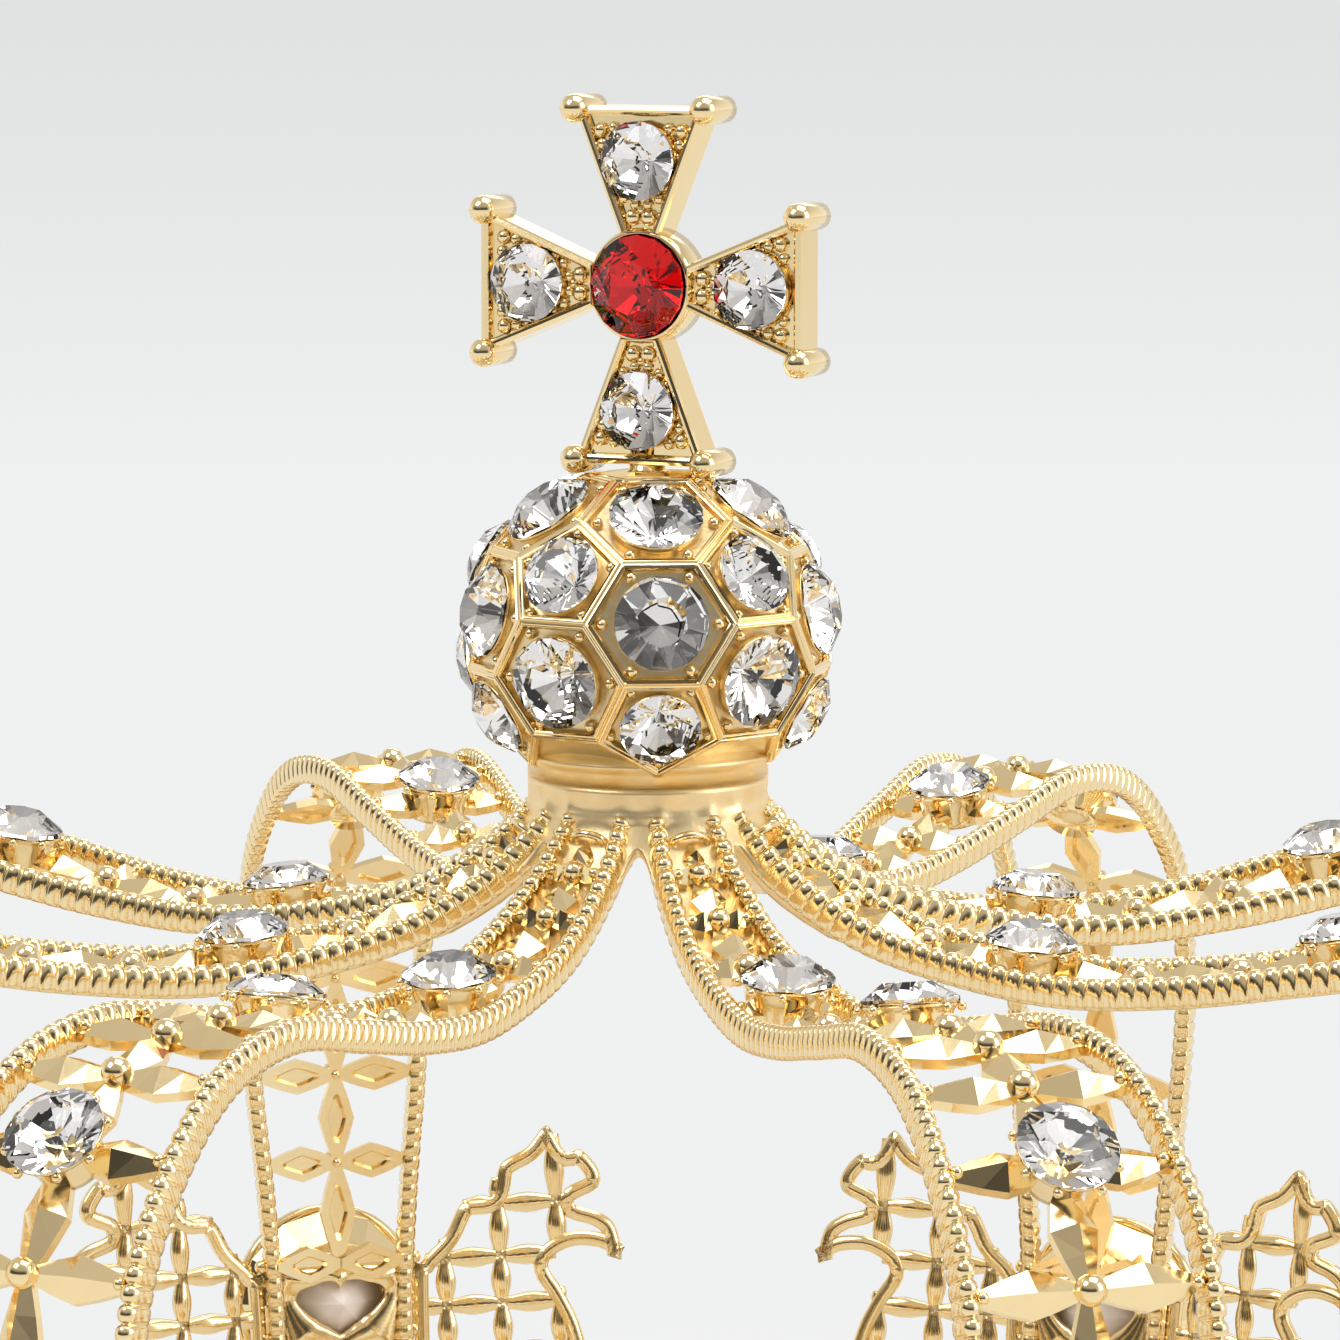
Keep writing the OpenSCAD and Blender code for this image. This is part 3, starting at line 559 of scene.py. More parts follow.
def cell_seat(cell, plane, lift=0.0):
    """Seat on a face of the flattened ball: the middle drawn in, and the axis square to the new face."""
    middle, _, across, out = round_seat(cell, plane)
    z = unit(out / (1, 1, ORB_FLAT))
    return flattened(middle) + lift * z, np.cross(across, z), across, z


# Rib and floor of a cell, from its border inwards: how far in and how high
CELL_FRAME = [(0, -0.16), (0.06, -0.02), (0.16, 0.03), (0.26, -0.06), (0.34, -0.06), (0.42, 0.02),
              (0.5, -0.04), (0.62, -0.5), (0.75, -0.55)]
PANEL_FRAME = [(0, -0.16), (0.06, -0.02), (0.3, 0.03), (0.5, -0.04), (0.62, -0.35), (0.7, -0.4)]
CELL_DEPTH, CELL_TAPER = 4.0, 0.55
PIT_R, PIT_CLEAR = 0.43, 0.45
CELL_CUP = [(0.84, -1.2), (0.86, -0.5), (0.93, 0.0)]
CELL_GRAIN_Z = -0.3
# Grains of a cell: how far out, as a share of its edge, and radius
HEX_GRAINS, PENT_GRAINS = (0.76, 0.42), (0.66, 0.36)
ORB_BASE = [(0.2, 0), (ORB_BASE_R - 0.4, 0), (ORB_BASE_R - 0.4, 0.8), (ORB_BASE_R - 0.2, 1.1),
            (ORB_BASE_R - 0.02, 1.35), (ORB_BASE_R, 1.5), (ORB_BASE_R - 0.12, 1.7), (ORB_BASE_R - 0.4, 1.85),
            (ORB_BASE_R - 0.7, 3.0), (0.2, 3.4)]


def framed_cell(casting, seat, sides, turn, frame_rows=CELL_FRAME, stone_d=0.0):
    """Cell of the orb: its border repeated inwards by the rows of a frame, and closed below. Where it
    holds a stone, its floor goes down as a pit about the stone's back. The floor takes slot 1."""
    origin, z = seat[0], seat[3]
    circum = CELL_EDGE / 2 / sin(pi / sides)
    apothem = circum * cos(pi / sides)
    ring = spokes(seat, turn + turns(sides))
    rows = [origin + circum * (1 - inset / apothem) * ring + high * z for inset, high in frame_rows]
    rows.insert(0, origin + circum * CELL_TAPER * ring - CELL_DEPTH * z)
    floor = frame_rows[-1][1]
    if stone_d:
        rows.append(origin + PIT_R * stone_d * ring + floor * z)
        rows.append(origin + 0.05 * ring + (ORB_STONE_LIFT - STONE_DEPTH * stone_d - PIT_CLEAR) * z)
    else:
        rows.append(origin + 0.1 * ring + floor * z)
    in_floor = np.repeat(np.arange(len(rows) - 1) >= len(frame_rows) - 1, sides)
    casting.add(flattened(np.stack(rows)), capped(len(rows), sides), smooth=False, slot=(in_floor, 0, 1))


def stone_cell(casting, cell, plane, sides, turn, stone_d, grain_r, grain_size):
    """Cell that holds a stone, with the stone's cup and a grain in each corner."""
    seat = round_seat(cell, plane)
    framed_cell(casting, seat, sides, turn, stone_d=stone_d)
    cup(casting, cell_seat(cell, plane), stone_d, ORB_STONE_LIFT, CELL_CUP, 32)
    grains = seat[0] + grain_r * CELL_EDGE * spokes(seat, turn + turns(sides)) + CELL_GRAIN_Z * seat[3]
    copies(casting, *GRAIN, flattened(grains), grain_size)


def orb_casting():
    """Ball of six and five-sided framed cells, a plain one on top, plain panels and a round base."""
    casting = Casting()
    for cell in HEX_CELLS:
        stone_cell(casting, cell, HEX_PLANE, 6, HEX_TURN, HEX_STONE_D, *HEX_GRAINS)
    for cells, turn in ((PENT_UP, pi / 5), (PENT_DOWN, 0.0)):
        for cell in cells:
            stone_cell(casting, cell, PENT_PLANE, 5, turn, PENT_STONE_D, *PENT_GRAINS)
    framed_cell(casting, round_seat(TOP_CELL, PENT_PLANE), 5, radians(36 - ORB_TURN))
    for cell in LOW_PANELS:
        framed_cell(casting, round_seat(cell, HEX_PLANE), 6, HEX_TURN, PANEL_FRAME)
    turned(casting, ORB_BASE, 96, (np.array([0, 0, ORB_Z - ORB_CENTRE_H]), *UPRIGHT), slot=2)
    return casting


def orb_gems():
    """The stones of the orb, each spun about its own axis by its azimuth, or by twice that."""
    casting = Casting()
    for cells, plane, d, times in ((HEX_CELLS, HEX_PLANE, HEX_STONE_D, 1),
                                   (PENT_UP + PENT_DOWN, PENT_PLANE, PENT_STONE_D, 2)):
        for cell in cells:
            add_stone(casting, d, cell_seat(cell, plane, ORB_STONE_LIFT), radians(times * cell[0]))
    return casting


# Cross. Its own axes are x to the right, y up and z out of its front, which faces -Y.
CROSS_AXES = np.array([[1.0, 0, 0], [0, 0, 1], [0, -1, 0]])
ARM_SLOPE = (ARM_END_W - ARM_WAIST_W) / 2 / (BALL_AT - BOSS_R)
ARM_FROM, ARM_PAST_BALL, ARM_STEPS, ARM_HEEL, ARM_TIP_CLEAR = 3.65, 0.25, 8, 0.4, 0.4
ARM_STONE_X = 0.71 * BALL_AT
HALF_T = CROSS_T / 2
CROSS_STONE_Z = HALF_T + CROSS_STONE_LIFT


def arm_half(x):
    """Half width of an arm, which grows in a straight line from the boss to the balls."""
    return ARM_WAIST_W / 2 + ARM_SLOPE * (x - BOSS_R)


def cross_point(k, x, y, z):
    """Points of arm k of the cross, which is turned by k quarter turns in its plane."""
    a = k * TAU / 4
    x, y, z = np.broadcast_arrays(x, y, z)
    right, up = x * cos(a) - y * sin(a), x * sin(a) + y * cos(a)
    return np.stack([right, -z, CROSS_Z + up], -1)


# Section of an arm's edge from the back round to the field: how far in and how high
ARM_EDGE = [(2.0, -HALF_T), (0.35, -HALF_T), (0.08, -HALF_T + 0.1), (0.0, -HALF_T + 0.35),
            (0.0, HALF_T - 0.3), (0.08, HALF_T - 0.08), (0.28, HALF_T), (0.46, HALF_T - 0.02),
            (0.62, HALF_T - 0.14), (0.7, HALF_T - 0.42), (0.74, HALF_T - FIELD_DEPTH),
            (1.0, HALF_T - FIELD_DEPTH)]
ARM_CUP = [(0.84, 0.2), (0.88, 1.0), (0.94, 1.4)]
# Grains in an arm's field: place along it, distance to each side of its middle line, and radius
ARM_GRAINS = [(10.8, 3.15, 0.56), (11.0, 2.15, 0.42), (9.85, 3.0, 0.46), (9.05, 2.85, 0.26),
              (4.78, 0.61, 0.62), (5.68, 0.5, 0.4), (6.1, 1.4, 0.42), (6.85, 1.95, 0.26)]
MIDDLE_GRAIN_X, MIDDLE_GRAIN_R, MIDDLE_GRAIN_UP = 5.32, 0.34, 0.1
BOSS = [(0.2, -HALF_T), (BOSS_R - 0.3, -HALF_T), (BOSS_R, -HALF_T + 0.3), (BOSS_R, HALF_T - 0.8),
        (BOSS_R - 0.06, HALF_T - 0.4), (BOSS_R - 0.2, HALF_T - 0.12), (BOSS_R - 0.4, HALF_T),
        (BOSS_R - 0.5, HALF_T - 0.1), (0.1, -HALF_T + 0.12)]
POST_TOP, POST = 1.3, [(0.1, 0), (1.3, 0), (1.3, -1.9), (1.5, -2.08), (0.1, -2.08)]


def ball_rod():
    """Profile of a rod through the cross's thickness with a half ball at each end."""
    reach = HALF_T - 0.1
    latitude = np.linspace(-pi / 2, pi / 2, 9)[1:-1]
    side = [(BALL_R * cos(a) + 0.001, BALL_R * sin(a) + copysign(reach, a)) for a in latitude]
    return [(0.02, -reach - BALL_R)] + side + [(0.02, reach + BALL_R)]


def cross_casting():
    """Four flared arms, each an outline repeated inwards by the rows of its edge, with balls at its
    corners, grains in its field and a cup for its stone, and a round boss in the middle."""
    casting = Casting()
    share = np.arange(ARM_STEPS)[:, None] / ARM_STEPS
    floor = HALF_T - FIELD_DEPTH
    for k in range(4):
        rows = []
        for inset, z in ARM_EDGE:
            x0, x1 = ARM_FROM + ARM_HEEL * inset, BALL_AT + ARM_PAST_BALL - inset
            drop = inset * sqrt(1 + ARM_SLOPE ** 2)
            y0, y1 = max(arm_half(x0) - drop, 0.02), max(arm_half(x1) - drop, 0.02)
            corners = np.array([(x0, -y0), (x1, -y1), (x1, y1), (x0, y0)])
            after = np.roll(corners, -1, 0)
            line = (corners[:, None] + share * (after - corners)[:, None]).reshape(-1, 2)
            rows.append(cross_point(k, *line.T, z))
        about = np.arctan2(line[:, 1], line[:, 0] - ARM_STONE_X)
        tip = CROSS_STONE_Z - STONE_DEPTH * ARM_STONE_D - ARM_TIP_CLEAR
        for reach, z in ((PIT_R * ARM_STONE_D, floor), (0.05, tip)):
            rows.append(cross_point(k, ARM_STONE_X + reach * np.cos(about), reach * np.sin(about), z))
        skin(casting, np.stack(rows), smooth=False)
        for side in (-1, 1):
            corner = cross_point(k, BALL_AT, side * ARM_END_W / 2, 0)
            turned(casting, ball_rod(), 20, (corner, *CROSS_AXES))
        seat = (cross_point(k, ARM_STONE_X, 0, 0), *CROSS_AXES)
        cup(casting, seat, ARM_STONE_D, CROSS_STONE_Z, ARM_CUP, 32)
        for x, y, size in ARM_GRAINS:
            for side in (-1, 1):
                copies(casting, *GRAIN, cross_point(k, x, side * y, floor + 0.25 * size), size)
        copies(casting, *GRAIN, cross_point(k, MIDDLE_GRAIN_X, 0, floor + MIDDLE_GRAIN_UP), MIDDLE_GRAIN_R)
    turned(casting, BOSS, 48, (cross_point(0, 0, 0, 0), *CROSS_AXES))
    turned(casting, POST, 32, (cross_point(0, 0, POST_TOP - BALL_AT, 0), *UPRIGHT))
    return casting


# Hoop with a beaded rim at each edge
HOOP_OUTER = HOOP_R + HOOP_WALL
HOOP_SECTION = [(HOOP_R + 0.2, 0), (HOOP_OUTER - 0.1, 0), (HOOP_OUTER, 0.3), (HOOP_OUTER, HOOP_H - 0.3),
                (HOOP_OUTER - 0.1, HOOP_H), (HOOP_R + 0.2, HOOP_H), (HOOP_R, HOOP_H - 0.2), (HOOP_R, 0.2)]
RIM_BEADS, BEAD_STEPS, RIM_SIDES = 248, 8, 10
RIM_BEAD_LENGTH, RIM_WAIST = 0.93, 0.45


def band_casting():
    """Plain wall turned about the axis, and two rims of round section, whose radius follows a circle's
    arc once per bead and goes no lower than a share of the rim's at the waists."""
    casting = Casting()
    turned(casting, HOOP_SECTION, 240, (np.zeros(3), *UPRIGHT), ring_shaped=True)
    angle = turns(RIM_BEADS * BEAD_STEPS)[:, None]
    phase = np.arange(RIM_BEADS * BEAD_STEPS)[:, None] % BEAD_STEPS / BEAD_STEPS
    phase = np.minimum(phase, 1 - phase)
    arc = HOOP_RIM ** 2 - (phase * 2 * HOOP_RIM * RIM_BEAD_LENGTH) ** 2
    size = np.sqrt(np.maximum(arc, (RIM_WAIST * HOOP_RIM) ** 2))
    around = turns(RIM_SIDES)
    r = HOOP_OUTER + size * np.cos(around)
    for z in (HOOP_RIM, HOOP_H - HOOP_RIM):
        skin(casting, polar(r, angle, z + size * np.sin(around)), ring_shaped=True)
    return casting


# Leaf wings. Outline as shares of the wing's width and height, from the foot of its hinge round to
# the top, and across its rod from the outer edge inwards: how far in and how high.
LEAF_ROWS = [[0, 0], [0.17, 0], [0.3, 0.09], [0.52, 0.2], [0.72, 0.34], [0.83, 0.48], [0.8, 0.6],
             [0.72, 0.68], [0.65, 0.735], [0.76, 0.765], [0.9, 0.76], [1, 0.735], [0.98, 0.8],
             [0.9, 0.83], [0.78, 0.85], [0.9, 0.875], [0.91, 0.91], [0.83, 0.95], [0.75, 0.95],
             [0.67, 1], [0.57, 0.96], [0.44, 0.93], [0.39, 0.87], [0.25, 0.86], [0.16, 0.8],
             [0.04, 0.75], [0, 0.68]]
LEAF_EDGE = [(0.0, -0.6), (0.05, -0.25), (0.22, -0.06), (0.55, 0), (0.95, -0.04), (1.22, -0.22), (1.3, -0.6),
             (1.2, -1), (0.1, -1)]


def closed_curve(rows, steps):
    """Closed Catmull-Rom curve through the rows."""
    u = (np.arange(steps) / steps)[None, :, None]
    return catmull_rom(*(np.roll(rows, -k, 0)[:, None] for k in (-1, 0, 1, 2)), u).reshape(-1, 2)


LEAN_FROM = 14.0


def leaf_axes():
    """Hinge and axes of a wing: along its reach, up its height and out of its face."""
    leg = arch_at([LEAN_FROM, ARCH_END])[:, :2]
    lean = atan2(leg[0, 0] - leg[1, 0], leg[0, 1] - leg[1, 1])
    turn = radians(LEAF_TURN)
    hinge = np.array([FOOT_R - 0.5 * (RAIL_D - LEAF_T),
                      arch_at(ARCH_END)[2] + RAIL_W / 2 + SEAT_GAP + LEAF_T * sin(turn), FOOT_Z])
    tip = np.array([[cos(lean), 0, sin(lean)], [0, 1, 0], [-sin(lean), 0, cos(lean)]])
    face, reach, rise = (tip @ turn_z(turn)).T
    return hinge, reach, rise, face


# Lattice of a wing: the lines of its strands, measured from the hinge
LATTICE_X = [2.8, 7.5, 12.4]
LATTICE_Y = [4.9, 9.0, 13.1, 17.2, 21.2, 25.3, 29.4, 33.4, 37.8]
STRAND_INSET, STRAND_LAP, STRAND_SHORTEST = 0.3, 0.05, 1.0
STRAND_HALF, STRAND_SWELL, SWELL_BY_LENGTH = 0.52, 0.36, 0.1
# Section of a strand: share of its half width, and height
STRAND_SECTION = [(-0.8, -0.95), (-1, -0.6), (-0.5, -0.2), (0, -0.08), (0.5, -0.2), (1, -0.6), (0.8, -0.95)]


def crossings(line, axis, level):
    """Places where a closed outline crosses one level of an axis, in order along the other axis."""
    start, end = line, np.roll(line, -1, 0)
    low, high = start[:, axis] - level, end[:, axis] - level
    hit = low * high < 0
    share = (low / np.where(hit, low - high, 1))[hit]
    other = 1 - axis
    return np.sort(start[hit, other] + share * (end[hit, other] - start[hit, other]))


def lattice_strands(line):
    """Segments between neighbouring crossings of the lattice, cut off at the wing's outline."""
    ends = []
    for axis, levels, nodes in ((1, LATTICE_Y, LATTICE_X), (0, LATTICE_X, LATTICE_Y)):
        for level in levels:
            cuts = crossings(line, axis, level)
            for a, b in zip(cuts[0::2], cuts[1::2]):
                inner = [n for n in nodes if a + STRAND_SHORTEST < n < b - STRAND_SHORTEST]
                stops = [a + STRAND_INSET] + inner + [b - STRAND_INSET]
                for u, v in zip(stops[:-1], stops[1:]):
                    u, v = u - STRAND_LAP, v + STRAND_LAP
                    ends.append([(u, level), (v, level)] if axis == 1 else [(level, u), (level, v)])
    return ends


def leaves_casting():
    """Two mirrored wings: a strip swept along the outline, and strands across it whose half width
    swells by the square of a sine from one crossing of the lattice to the next."""
    casting = Casting()
    hinge, reach, rise, face = leaf_axes()
    line = closed_curve(np.array(LEAF_ROWS) * [LEAF_W, LEAF_H], 6)
    ahead = unit(np.roll(line, -1, 0) - np.roll(line, 1, 0))
    inward = np.stack([-ahead[:, 1], ahead[:, 0]], -1)
    strands = lattice_strands(line)

    def placed(flat, high):
        return hinge + flat[:, :1] * reach + flat[:, 1:] * rise + high * face

    for side in (1, -1):
        flip = np.array([1.0, side, 1.0])
        grid = np.stack([placed(line + inset * inward, high) for inset, high in LEAF_EDGE], 1)
        skin(casting, grid * flip, ring_shaped=True)
        for (x0, y0), (x1, y1) in strands:
            length = hypot(x1 - x0, y1 - y0)
            u = np.linspace(0, 1, 9)
            half = STRAND_HALF + min(STRAND_SWELL, SWELL_BY_LENGTH * length) * np.sin(np.pi * u) ** 2
            middle = np.stack([x0 + u * (x1 - x0), y0 + u * (y1 - y0)], -1)
            across = np.array([-(y1 - y0), x1 - x0]) / length
            grid = np.stack([placed(middle + (share * half)[:, None] * across, high)
                             for share, high in STRAND_SECTION], 1)
            skin(casting, grid * flip)
    return casting


# Materials
def feed(tree, node, inputs):
    """Gives a node its inputs by name or number: each is a value, or another node's output."""
    for label, value in inputs.items():
        if isinstance(value, bpy.types.NodeSocket):
            tree.links.new(value, node.inputs[label])
        else:
            node.inputs[label].default_value = value


def add_node(tree, kind, inputs=None, **settings):
    """Adds a shader node with its settings and inputs, and gives its outputs."""
    node = tree.nodes.new("ShaderNode" + kind)
    for label, value in settings.items():
        setattr(node, label, value)
    feed(tree, node, inputs or {})
    return node.outputs


def new_group(name, inputs, outputs):
    """Empty shader group with its sockets, and its two end nodes."""
    group = bpy.data.node_groups.new(name, "ShaderNodeTree")
    for label, kind, value in inputs:
        socket = group.interface.new_socket(label, in_out="INPUT", socket_type="NodeSocket" + kind)
        socket.default_value = value
    for label, kind in outputs:
        group.interface.new_socket(label, in_out="OUTPUT", socket_type="NodeSocket" + kind)
    return group, group.nodes.new("NodeGroupInput").outputs, group.nodes.new("NodeGroupOutput")


def plated_metal_group():
    """Plated cast metal: two scales of noise shift the tint, the roughness and the height. The second tint is
    random wear on the golds and the red foil; on the silver foil it is painted coloured glints, and on the
    foot paint it is painted light shining through the stone.
    """
    group, given, result = new_group(
        "plated_metal",
        [("Tint", "Color", (1, 1, 1, 1)), ("Wear And Light Tint", "Color", (1, 1, 1, 1)),
         ("Roughness", "Float", 0.15), ("Spread", "Float", 0.1), ("Grain", "Float", 0.3),
         ("Scale", "Float", 160)],
        [("Color", "Color"), ("Roughness", "Float"), ("Height", "Float")])
    place = add_node(group, "TexCoord")["Object"]
    broad, fine = (add_node(group, "TexNoise", {"Vector": place, "Scale": scale, "Detail": detail})["Fac"]
                   for scale, detail in ((given["Scale"], 3), (1500, 2)))
    tint = add_node(group, "Mix", {"Factor": broad, "A": given["Tint"], "B": given["Wear And Light Tint"]},
                    data_type="RGBA")
    rough = add_node(group, "Math", {0: broad, 1: given["Spread"], 2: given["Roughness"]},
                     operation="MULTIPLY_ADD")
    height = add_node(group, "Math", {0: fine, 1: given["Grain"], 2: broad}, operation="MULTIPLY_ADD")
    feed(group, result, {"Color": tint["Result"], "Roughness": rough[0],
                         "Height": height[0]})
    return group


def clouded_glass_group():
    """Cut glass: a slow noise drifts the tint and leaves a breath of dullness on the facets."""
    group, given, result = new_group(
        "clouded_glass",
        [("Tint", "Color", (1, 1, 1, 1)), ("Drift Tint", "Color", (1, 1, 1, 1)),
         ("Dullness", "Float", 0.01)],
        [("Color", "Color"), ("Roughness", "Float")])
    place = add_node(group, "TexCoord")["Object"]
    drift = add_node(group, "TexNoise", {"Vector": place, "Scale": 240, "Detail": 1})["Fac"]
    tint = add_node(group, "Mix", {"Factor": drift, "A": given["Tint"], "B": given["Drift Tint"]},
                    data_type="RGBA")
    dull = add_node(group, "Math", {0: drift, 1: given["Dullness"]}, operation="MULTIPLY")
    feed(group, result, {"Color": tint["Result"], "Roughness": dull[0]})
    return group


def new_material(name):
    """Material, its node tree and its main shader."""
    material = bpy.data.materials.new(name)
    material.use_nodes = True
    return material, material.node_tree, material.node_tree.nodes["Principled BSDF"]


def grouped_material(name, group, inputs):
    """Material whose colour and roughness come from a group, and the outputs of that group."""
    material, tree, shader = new_material(name)
    made = add_node(tree, "Group", inputs, node_tree=group)
    feed(tree, shader, {"Base Color": made["Color"], "Roughness": made["Roughness"]})
    return material, tree, shader, made


RELIEF, GLASS_IOR = 0.00002, 1.54


def metal(name, tint, wear_and_light_tint, roughness, spread, grain, bump, scale=160, metallic=1.0):
    """Material of the plated metal group, with its height as a fine relief."""
    material, tree, shader, made = grouped_material(
        name, plated, {"Tint": (*tint, 1), "Wear And Light Tint": (*wear_and_light_tint, 1), "Roughness": roughness,
                       "Spread": spread, "Grain": grain, "Scale": scale})
    relief = add_node(tree, "Bump", {"Distance": RELIEF, "Strength": bump, "Height": made["Height"]})
    feed(tree, shader, {"Metallic": metallic, "Normal": relief["Normal"]})
    return material


def glass(name, tint, drift_tint):
    """Clear glass with the tint and dullness of the clouded glass group."""
    material, tree, shader, _ = grouped_material(
        name, clouded, {"Tint": (*tint, 1), "Drift Tint": (*drift_tint, 1)})
    feed(tree, shader, {"Transmission Weight": 1.0, "IOR": GLASS_IOR})
    return material


plated = plated_metal_group()
gold = metal("gold_plate", (0.98, 0.80, 0.47), (0.95, 0.74, 0.40), 0.07, 0.10, 0.3, 0.4)
satin_gold = metal("satin_gold", (0.98, 0.79, 0.46), (0.95, 0.72, 0.38), 0.24, 0.28, 1.0, 1.0, 700)
cast_gold = metal("cast_gold", (1.0, 0.86, 0.55), (0.84, 0.66, 0.37), 0.28, 0.2, 2.0, 1.2, 700)
# Paint behind the foot stones: a rose backing colour plus painted light. Both tints are at full brightness to
# stand in for light shining through the open-backed stone.
foil_paint_and_shine_through = metal("foil_paint_and_shine_through", (1.0, 0.84, 0.81), (1.0, 1.0, 0.98), 0.45, 0.1, 0.3, 0.2, 260, 0.0)
# Silver foil: its tint drifts between warm and cool as painted coloured glints, standing in for light that
# the glass splits into colours.
foil = metal("silver_foil", (1.0, 0.955, 0.90), (0.90, 0.93, 0.99), 0.0, 0.0, 0.2, 0.0, 300)
red_foil = metal("red_foil", (0.95, 0.05, 0.06), (0.75, 0.01, 0.03), 0.0, 0.0, 0.2, 0.0, 300)
clouded = clouded_glass_group()
crystal = glass("clear_crystal", (1.0, 0.985, 0.96), (0.985, 0.975, 0.97))
red_crystal = glass("red_crystal", (1.0, 0.20, 0.18), (0.95, 0.12, 0.12))


# Pieces
def set_piece(piece, slot, *stands_for):
    """Fixes a piece to the crown's one body and hides the CAD nodes that it stands for. The slot is not used.
    """
    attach(piece, "root")
    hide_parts(*stands_for)


def set_gem(name, node, d, seat, spun=0.0, turn=0.0, slot="crystal", materials=(crystal, foil)):
    """Makes one stone, spun about its own axis, and turned with its arch."""
    gem = Casting()
    add_stone(gem, d, seat, spun)
    set_piece(gem.pour(name, materials, turn), slot, node)


FIRST_ARCH, ARCH_STEP, GEM_SPIN = -90, 45, 0.3
arch_metal = arch_casting()
foot_casting(arch_metal)
leaf_metal = leaves_casting()
for i in range(ARCHES):
    turn = radians(ARCH_STEP * i + FIRST_ARCH)
    set_piece(arch_metal.pour(f"pierced_arch_{i + 1}", [gold, foil_paint_and_shine_through], turn), "gold", f"arch_{i + 1}")
    set_piece(leaf_metal.pour(f"leaf_wings_{i + 1}", [gold], turn), "gold", f"leaves_{i + 1}")
    for j, t in enumerate(STONE_AT):
        n = 3 * i + j + 1
        seat = seat_at(t, ARCH_STONE_LIFT)
        set_gem(f"arch_gem_{n}", f"arch_stone_{n}", ARCH_STONE_D, seat, GEM_SPIN * n, turn)
    seat = seat_at(FOOT_AT, FOOT_STONE_LIFT)
    set_gem(f"foot_gem_{i + 1}", f"foot_stone_{i + 1}", FOOT_STONE_D, seat, turn=turn)

set_piece(band_casting().pour("beaded_hoop", [gold]), "gold", "band")
set_piece(collar_casting().pour("dished_collar", [satin_gold]), "gold", "collar")
set_piece(orb_casting().pour("cell_orb", [gold, cast_gold, satin_gold]), "gold", "orb")
set_piece(orb_gems().pour("orb_gems", [crystal, foil]), "crystal", "orb_stones")
set_piece(cross_casting().pour("flared_cross", [gold]), "gold", "cross")
for k in range(4):
    set_gem(f"cross_gem_{k + 1}", f"cross_stone_{k + 1}", ARM_STONE_D,
            (cross_point(k, ARM_STONE_X, 0, CROSS_STONE_Z), *CROSS_AXES), GEM_SPIN * k)
set_gem("red_gem", "red_stone", RED_STONE_D, (cross_point(0, 0, 0, CROSS_STONE_Z), *CROSS_AXES),
        slot="red_crystal", materials=(red_crystal, red_foil))


# Studio: a pale floor under a pale sky, both of one brightness far away, and soft boxes above.
# The floor's rings are in millimetres, and its distances of change in metres.
PAPER, FLOOR_TONE = (0.872, 0.880, 0.880), (0.80, 0.80, 0.79)
FLOOR_RINGS = [1.0, 60, 120, 200, 300, 450, 700, 1200, 3000, 12000]
GLOW_FROM, GLOW_TO = 0.12, 0.30
NEAR_TONE, NEAR_AT, FAR_AT = 0.865, 0.72, 0.14


def studio_floor():
    """Flat disc out to twelve metres, in rings of growing radius. Away from the crown its paper turns
    into a glow, whose strength follows one over the distance."""
    casting = Casting()
    sides = 96
    r = np.array(FLOOR_RINGS)[:, None]
    casting.add(polar(r, turns(sides), 0.0), [strip_faces(len(r), sides), np.arange(sides)[None]])
    material, tree, shader = new_material("studio_paper")
    feed(tree, shader, {"Base Color": (*FLOOR_TONE, 1), "Roughness": 0.9})
    place = add_node(tree, "TexCoord")["Object"]
    away = add_node(tree, "VectorMath", {0: place}, operation="LENGTH")["Value"]
    near = add_node(tree, "Math", {0: 1.0, 1: away}, operation="DIVIDE")[0]
    tone = add_node(tree, "MapRange", {"Value": near, "From Min": FAR_AT, "From Max": NEAR_AT,
                                       "To Min": NEAR_TONE, "To Max": 1.0})["Result"]
    glow = add_node(tree, "Emission", {"Color": (*PAPER, 1), "Strength": tone})["Emission"]
    fade = add_node(tree, "MapRange", {"Value": away, "From Min": GLOW_FROM, "From Max": GLOW_TO})
    mix = add_node(tree, "MixShader", {0: fade["Result"], 1: shader.outputs["BSDF"], 2: glow})
    feed(tree, tree.nodes["Material Output"], {"Surface": mix["Shader"]})
    return casting.pour("studio_floor", [material])


studio_floor()
LAMPS_AIM = (0, 0, 0.12)


def soft_box(name, place, size, power):
    """Area light that looks at the crown's upper half."""
    light = bpy.data.lights.new(name, "AREA")
    light.shape = "RECTANGLE"
    light.size, light.size_y = size
    light.energy = power
    lamp = new_object(name, light)
    lamp.location = place
    lamp.rotation_euler = (Vector(LAMPS_AIM) - Vector(place)).to_track_quat("-Z", "Y").to_euler()


soft_box("key_box", (-0.40, -0.62, 0.95), (0.5, 0.5), 3.2)
soft_box("top_box", (0.25, 0.1, 1.1), (0.8, 0.8), 5)
soft_box("right_box", (0.95, 0.15, 0.5), (0.5, 0.7), 2.5)
soft_box("back_box", (-0.4, 1.0, 0.8), (0.8, 0.5), 1.5)


def eased(tree, value, start, end, low, high):
    """Smooth step of a value, from low at its start to high at its end."""
    return add_node(tree, "MapRange", {"Value": value, "From Min": start, "From Max": end, "To Min": low,
                                       "To Max": high}, interpolation_type="SMOOTHSTEP")["Result"]


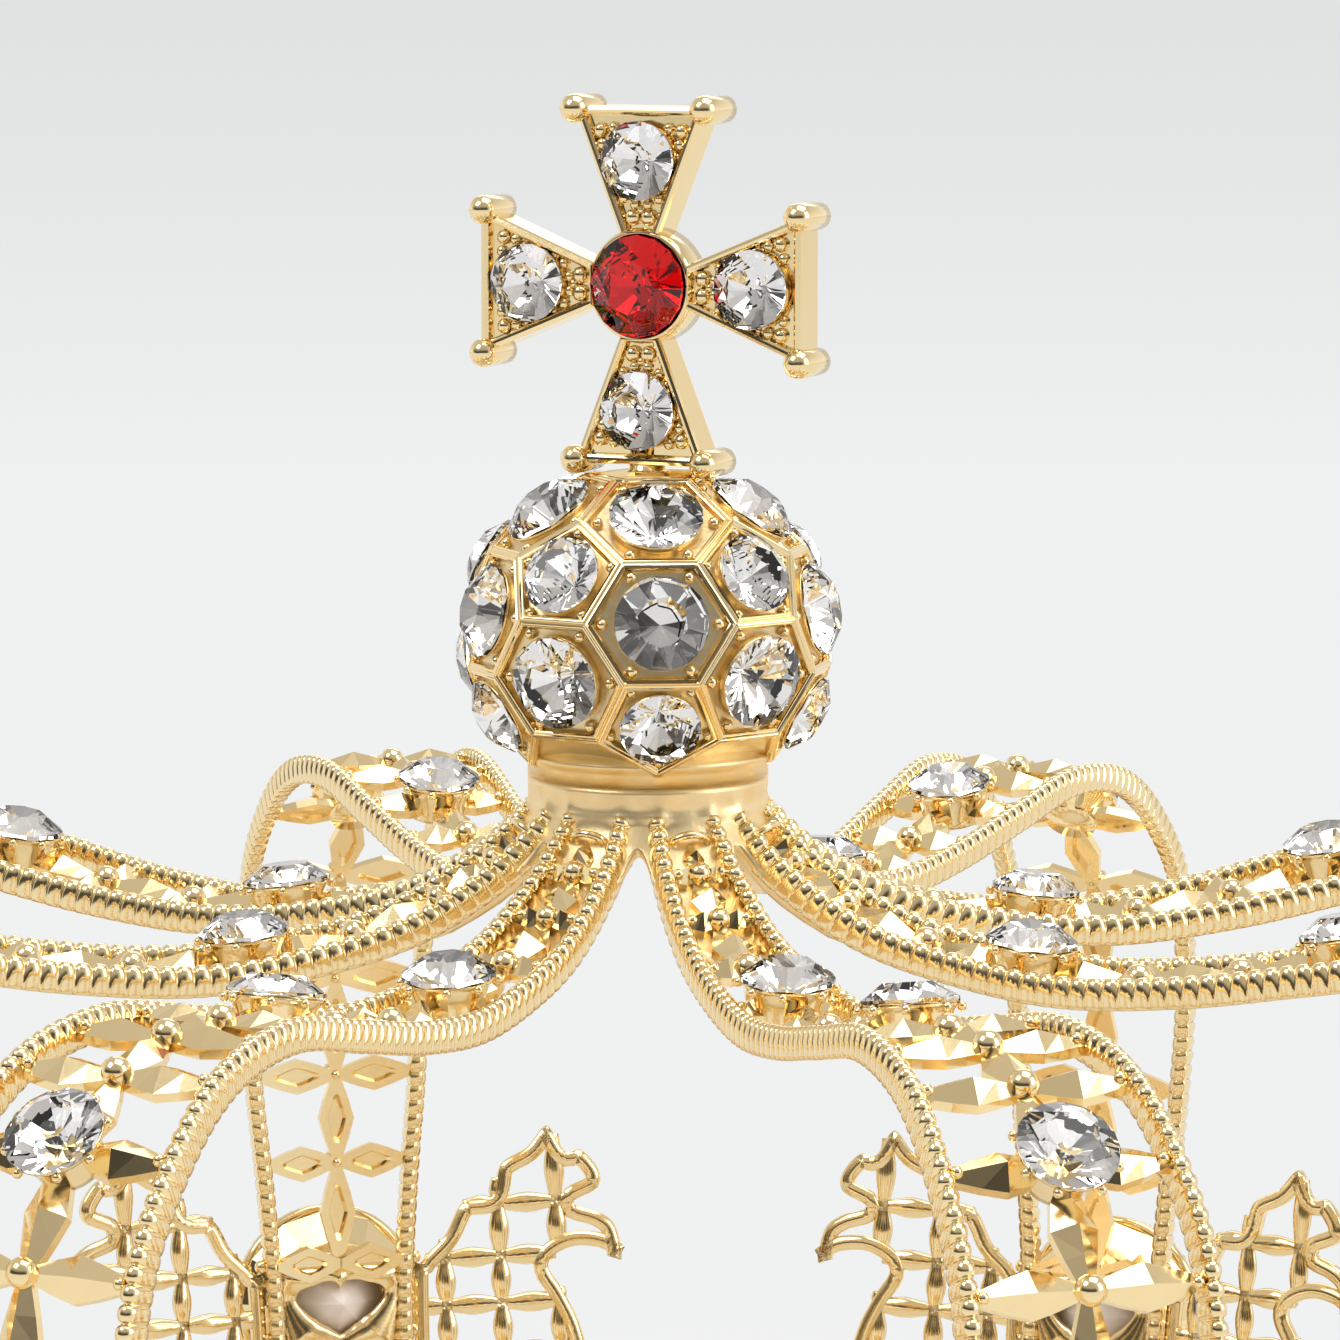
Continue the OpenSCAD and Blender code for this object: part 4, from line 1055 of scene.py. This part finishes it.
# The air shows the paper's tone to the eye. To the metal it is a bright sky at the back and a dark
# room at the photographer's side, deepest above the horizon and paler overhead.
SKY_LOW, SKY_HIGH, SKY_HIGH_AT = (1.0, 0.985, 0.96), (0.62, 0.60, 0.57), 0.6
ROOM_WAY, ROOM_FROM, ROOM_TO = (0.03, -1.0, 0.0), 0.15, 0.6
DEEP_FROM, DEEP_TO, DEEP_LOW, DEEP_HIGH = 0.18, 0.6, 0.93, 0.2
world = bpy.data.worlds.new("studio_air")
world.use_nodes = True
air = world.node_tree
sky = add_node(air, "TexCoord")["Generated"]
rise = add_node(air, "SeparateXYZ", {"Vector": sky})["Z"]
ramp = add_node(air, "ValToRGB", {"Fac": rise})["Color"]
for stop, position, tone in zip(ramp.node.color_ramp.elements, (0.0, SKY_HIGH_AT), (SKY_LOW, SKY_HIGH)):
    stop.position = position
    stop.color = (*tone, 1)
facing = add_node(air, "VectorMath", {0: sky, 1: ROOM_WAY}, operation="DOT_PRODUCT")["Value"]
room = eased(air, facing, ROOM_FROM, ROOM_TO, 0.0, 1.0)
deep = eased(air, rise, DEEP_FROM, DEEP_TO, DEEP_LOW, DEEP_HIGH)
shade = add_node(air, "Math", {0: room, 1: deep}, operation="MULTIPLY")[0]
rest = add_node(air, "Math", {0: 1.0, 1: shade}, operation="SUBTRACT")[0]
lit = add_node(air, "Background", {"Color": ramp, "Strength": rest})["Background"]
seen = air.nodes["Background"]
feed(air, seen, {"Color": (*PAPER, 1)})
to_eye = add_node(air, "LightPath")["Is Camera Ray"]
either = add_node(air, "MixShader", {0: to_eye, 1: lit, 2: seen.outputs["Background"]})
feed(air, air.nodes["World Output"], {"Surface": either["Shader"]})
bpy.context.scene.world = world

# Camera, at the photograph's side. The pixel lengths are those of a picture 1340 pixels wide.
VIEW_AZ, VIEW_PITCH, VIEW_WAY, VIEW_AT_Z = radians(26.7), radians(6.6), 440, 120
LENS_PX, IMAGE_PX, TARGET_PX, SENSOR = 6250, 1340, (648, 610), 36
camera_data = bpy.data.cameras.new("photo_camera")
camera_data.sensor_width = SENSOR
camera_data.lens = SENSOR * LENS_PX / IMAGE_PX
camera_data.shift_x = 0.5 - TARGET_PX[0] / IMAGE_PX
camera_data.shift_y = TARGET_PX[1] / IMAGE_PX - 0.5
camera_data.clip_start = 10 * MM
camera = new_object("photo_camera", camera_data)
away = VIEW_WAY * cos(VIEW_PITCH)
camera.location = (away * sin(VIEW_AZ) * MM, -away * cos(VIEW_AZ) * MM,
                   (VIEW_AT_Z + VIEW_WAY * sin(VIEW_PITCH)) * MM)
camera.rotation_euler = (pi / 2 - VIEW_PITCH, 0, VIEW_AZ)
bpy.context.scene.camera = camera
bpy.context.scene.view_settings.view_transform = "Standard"
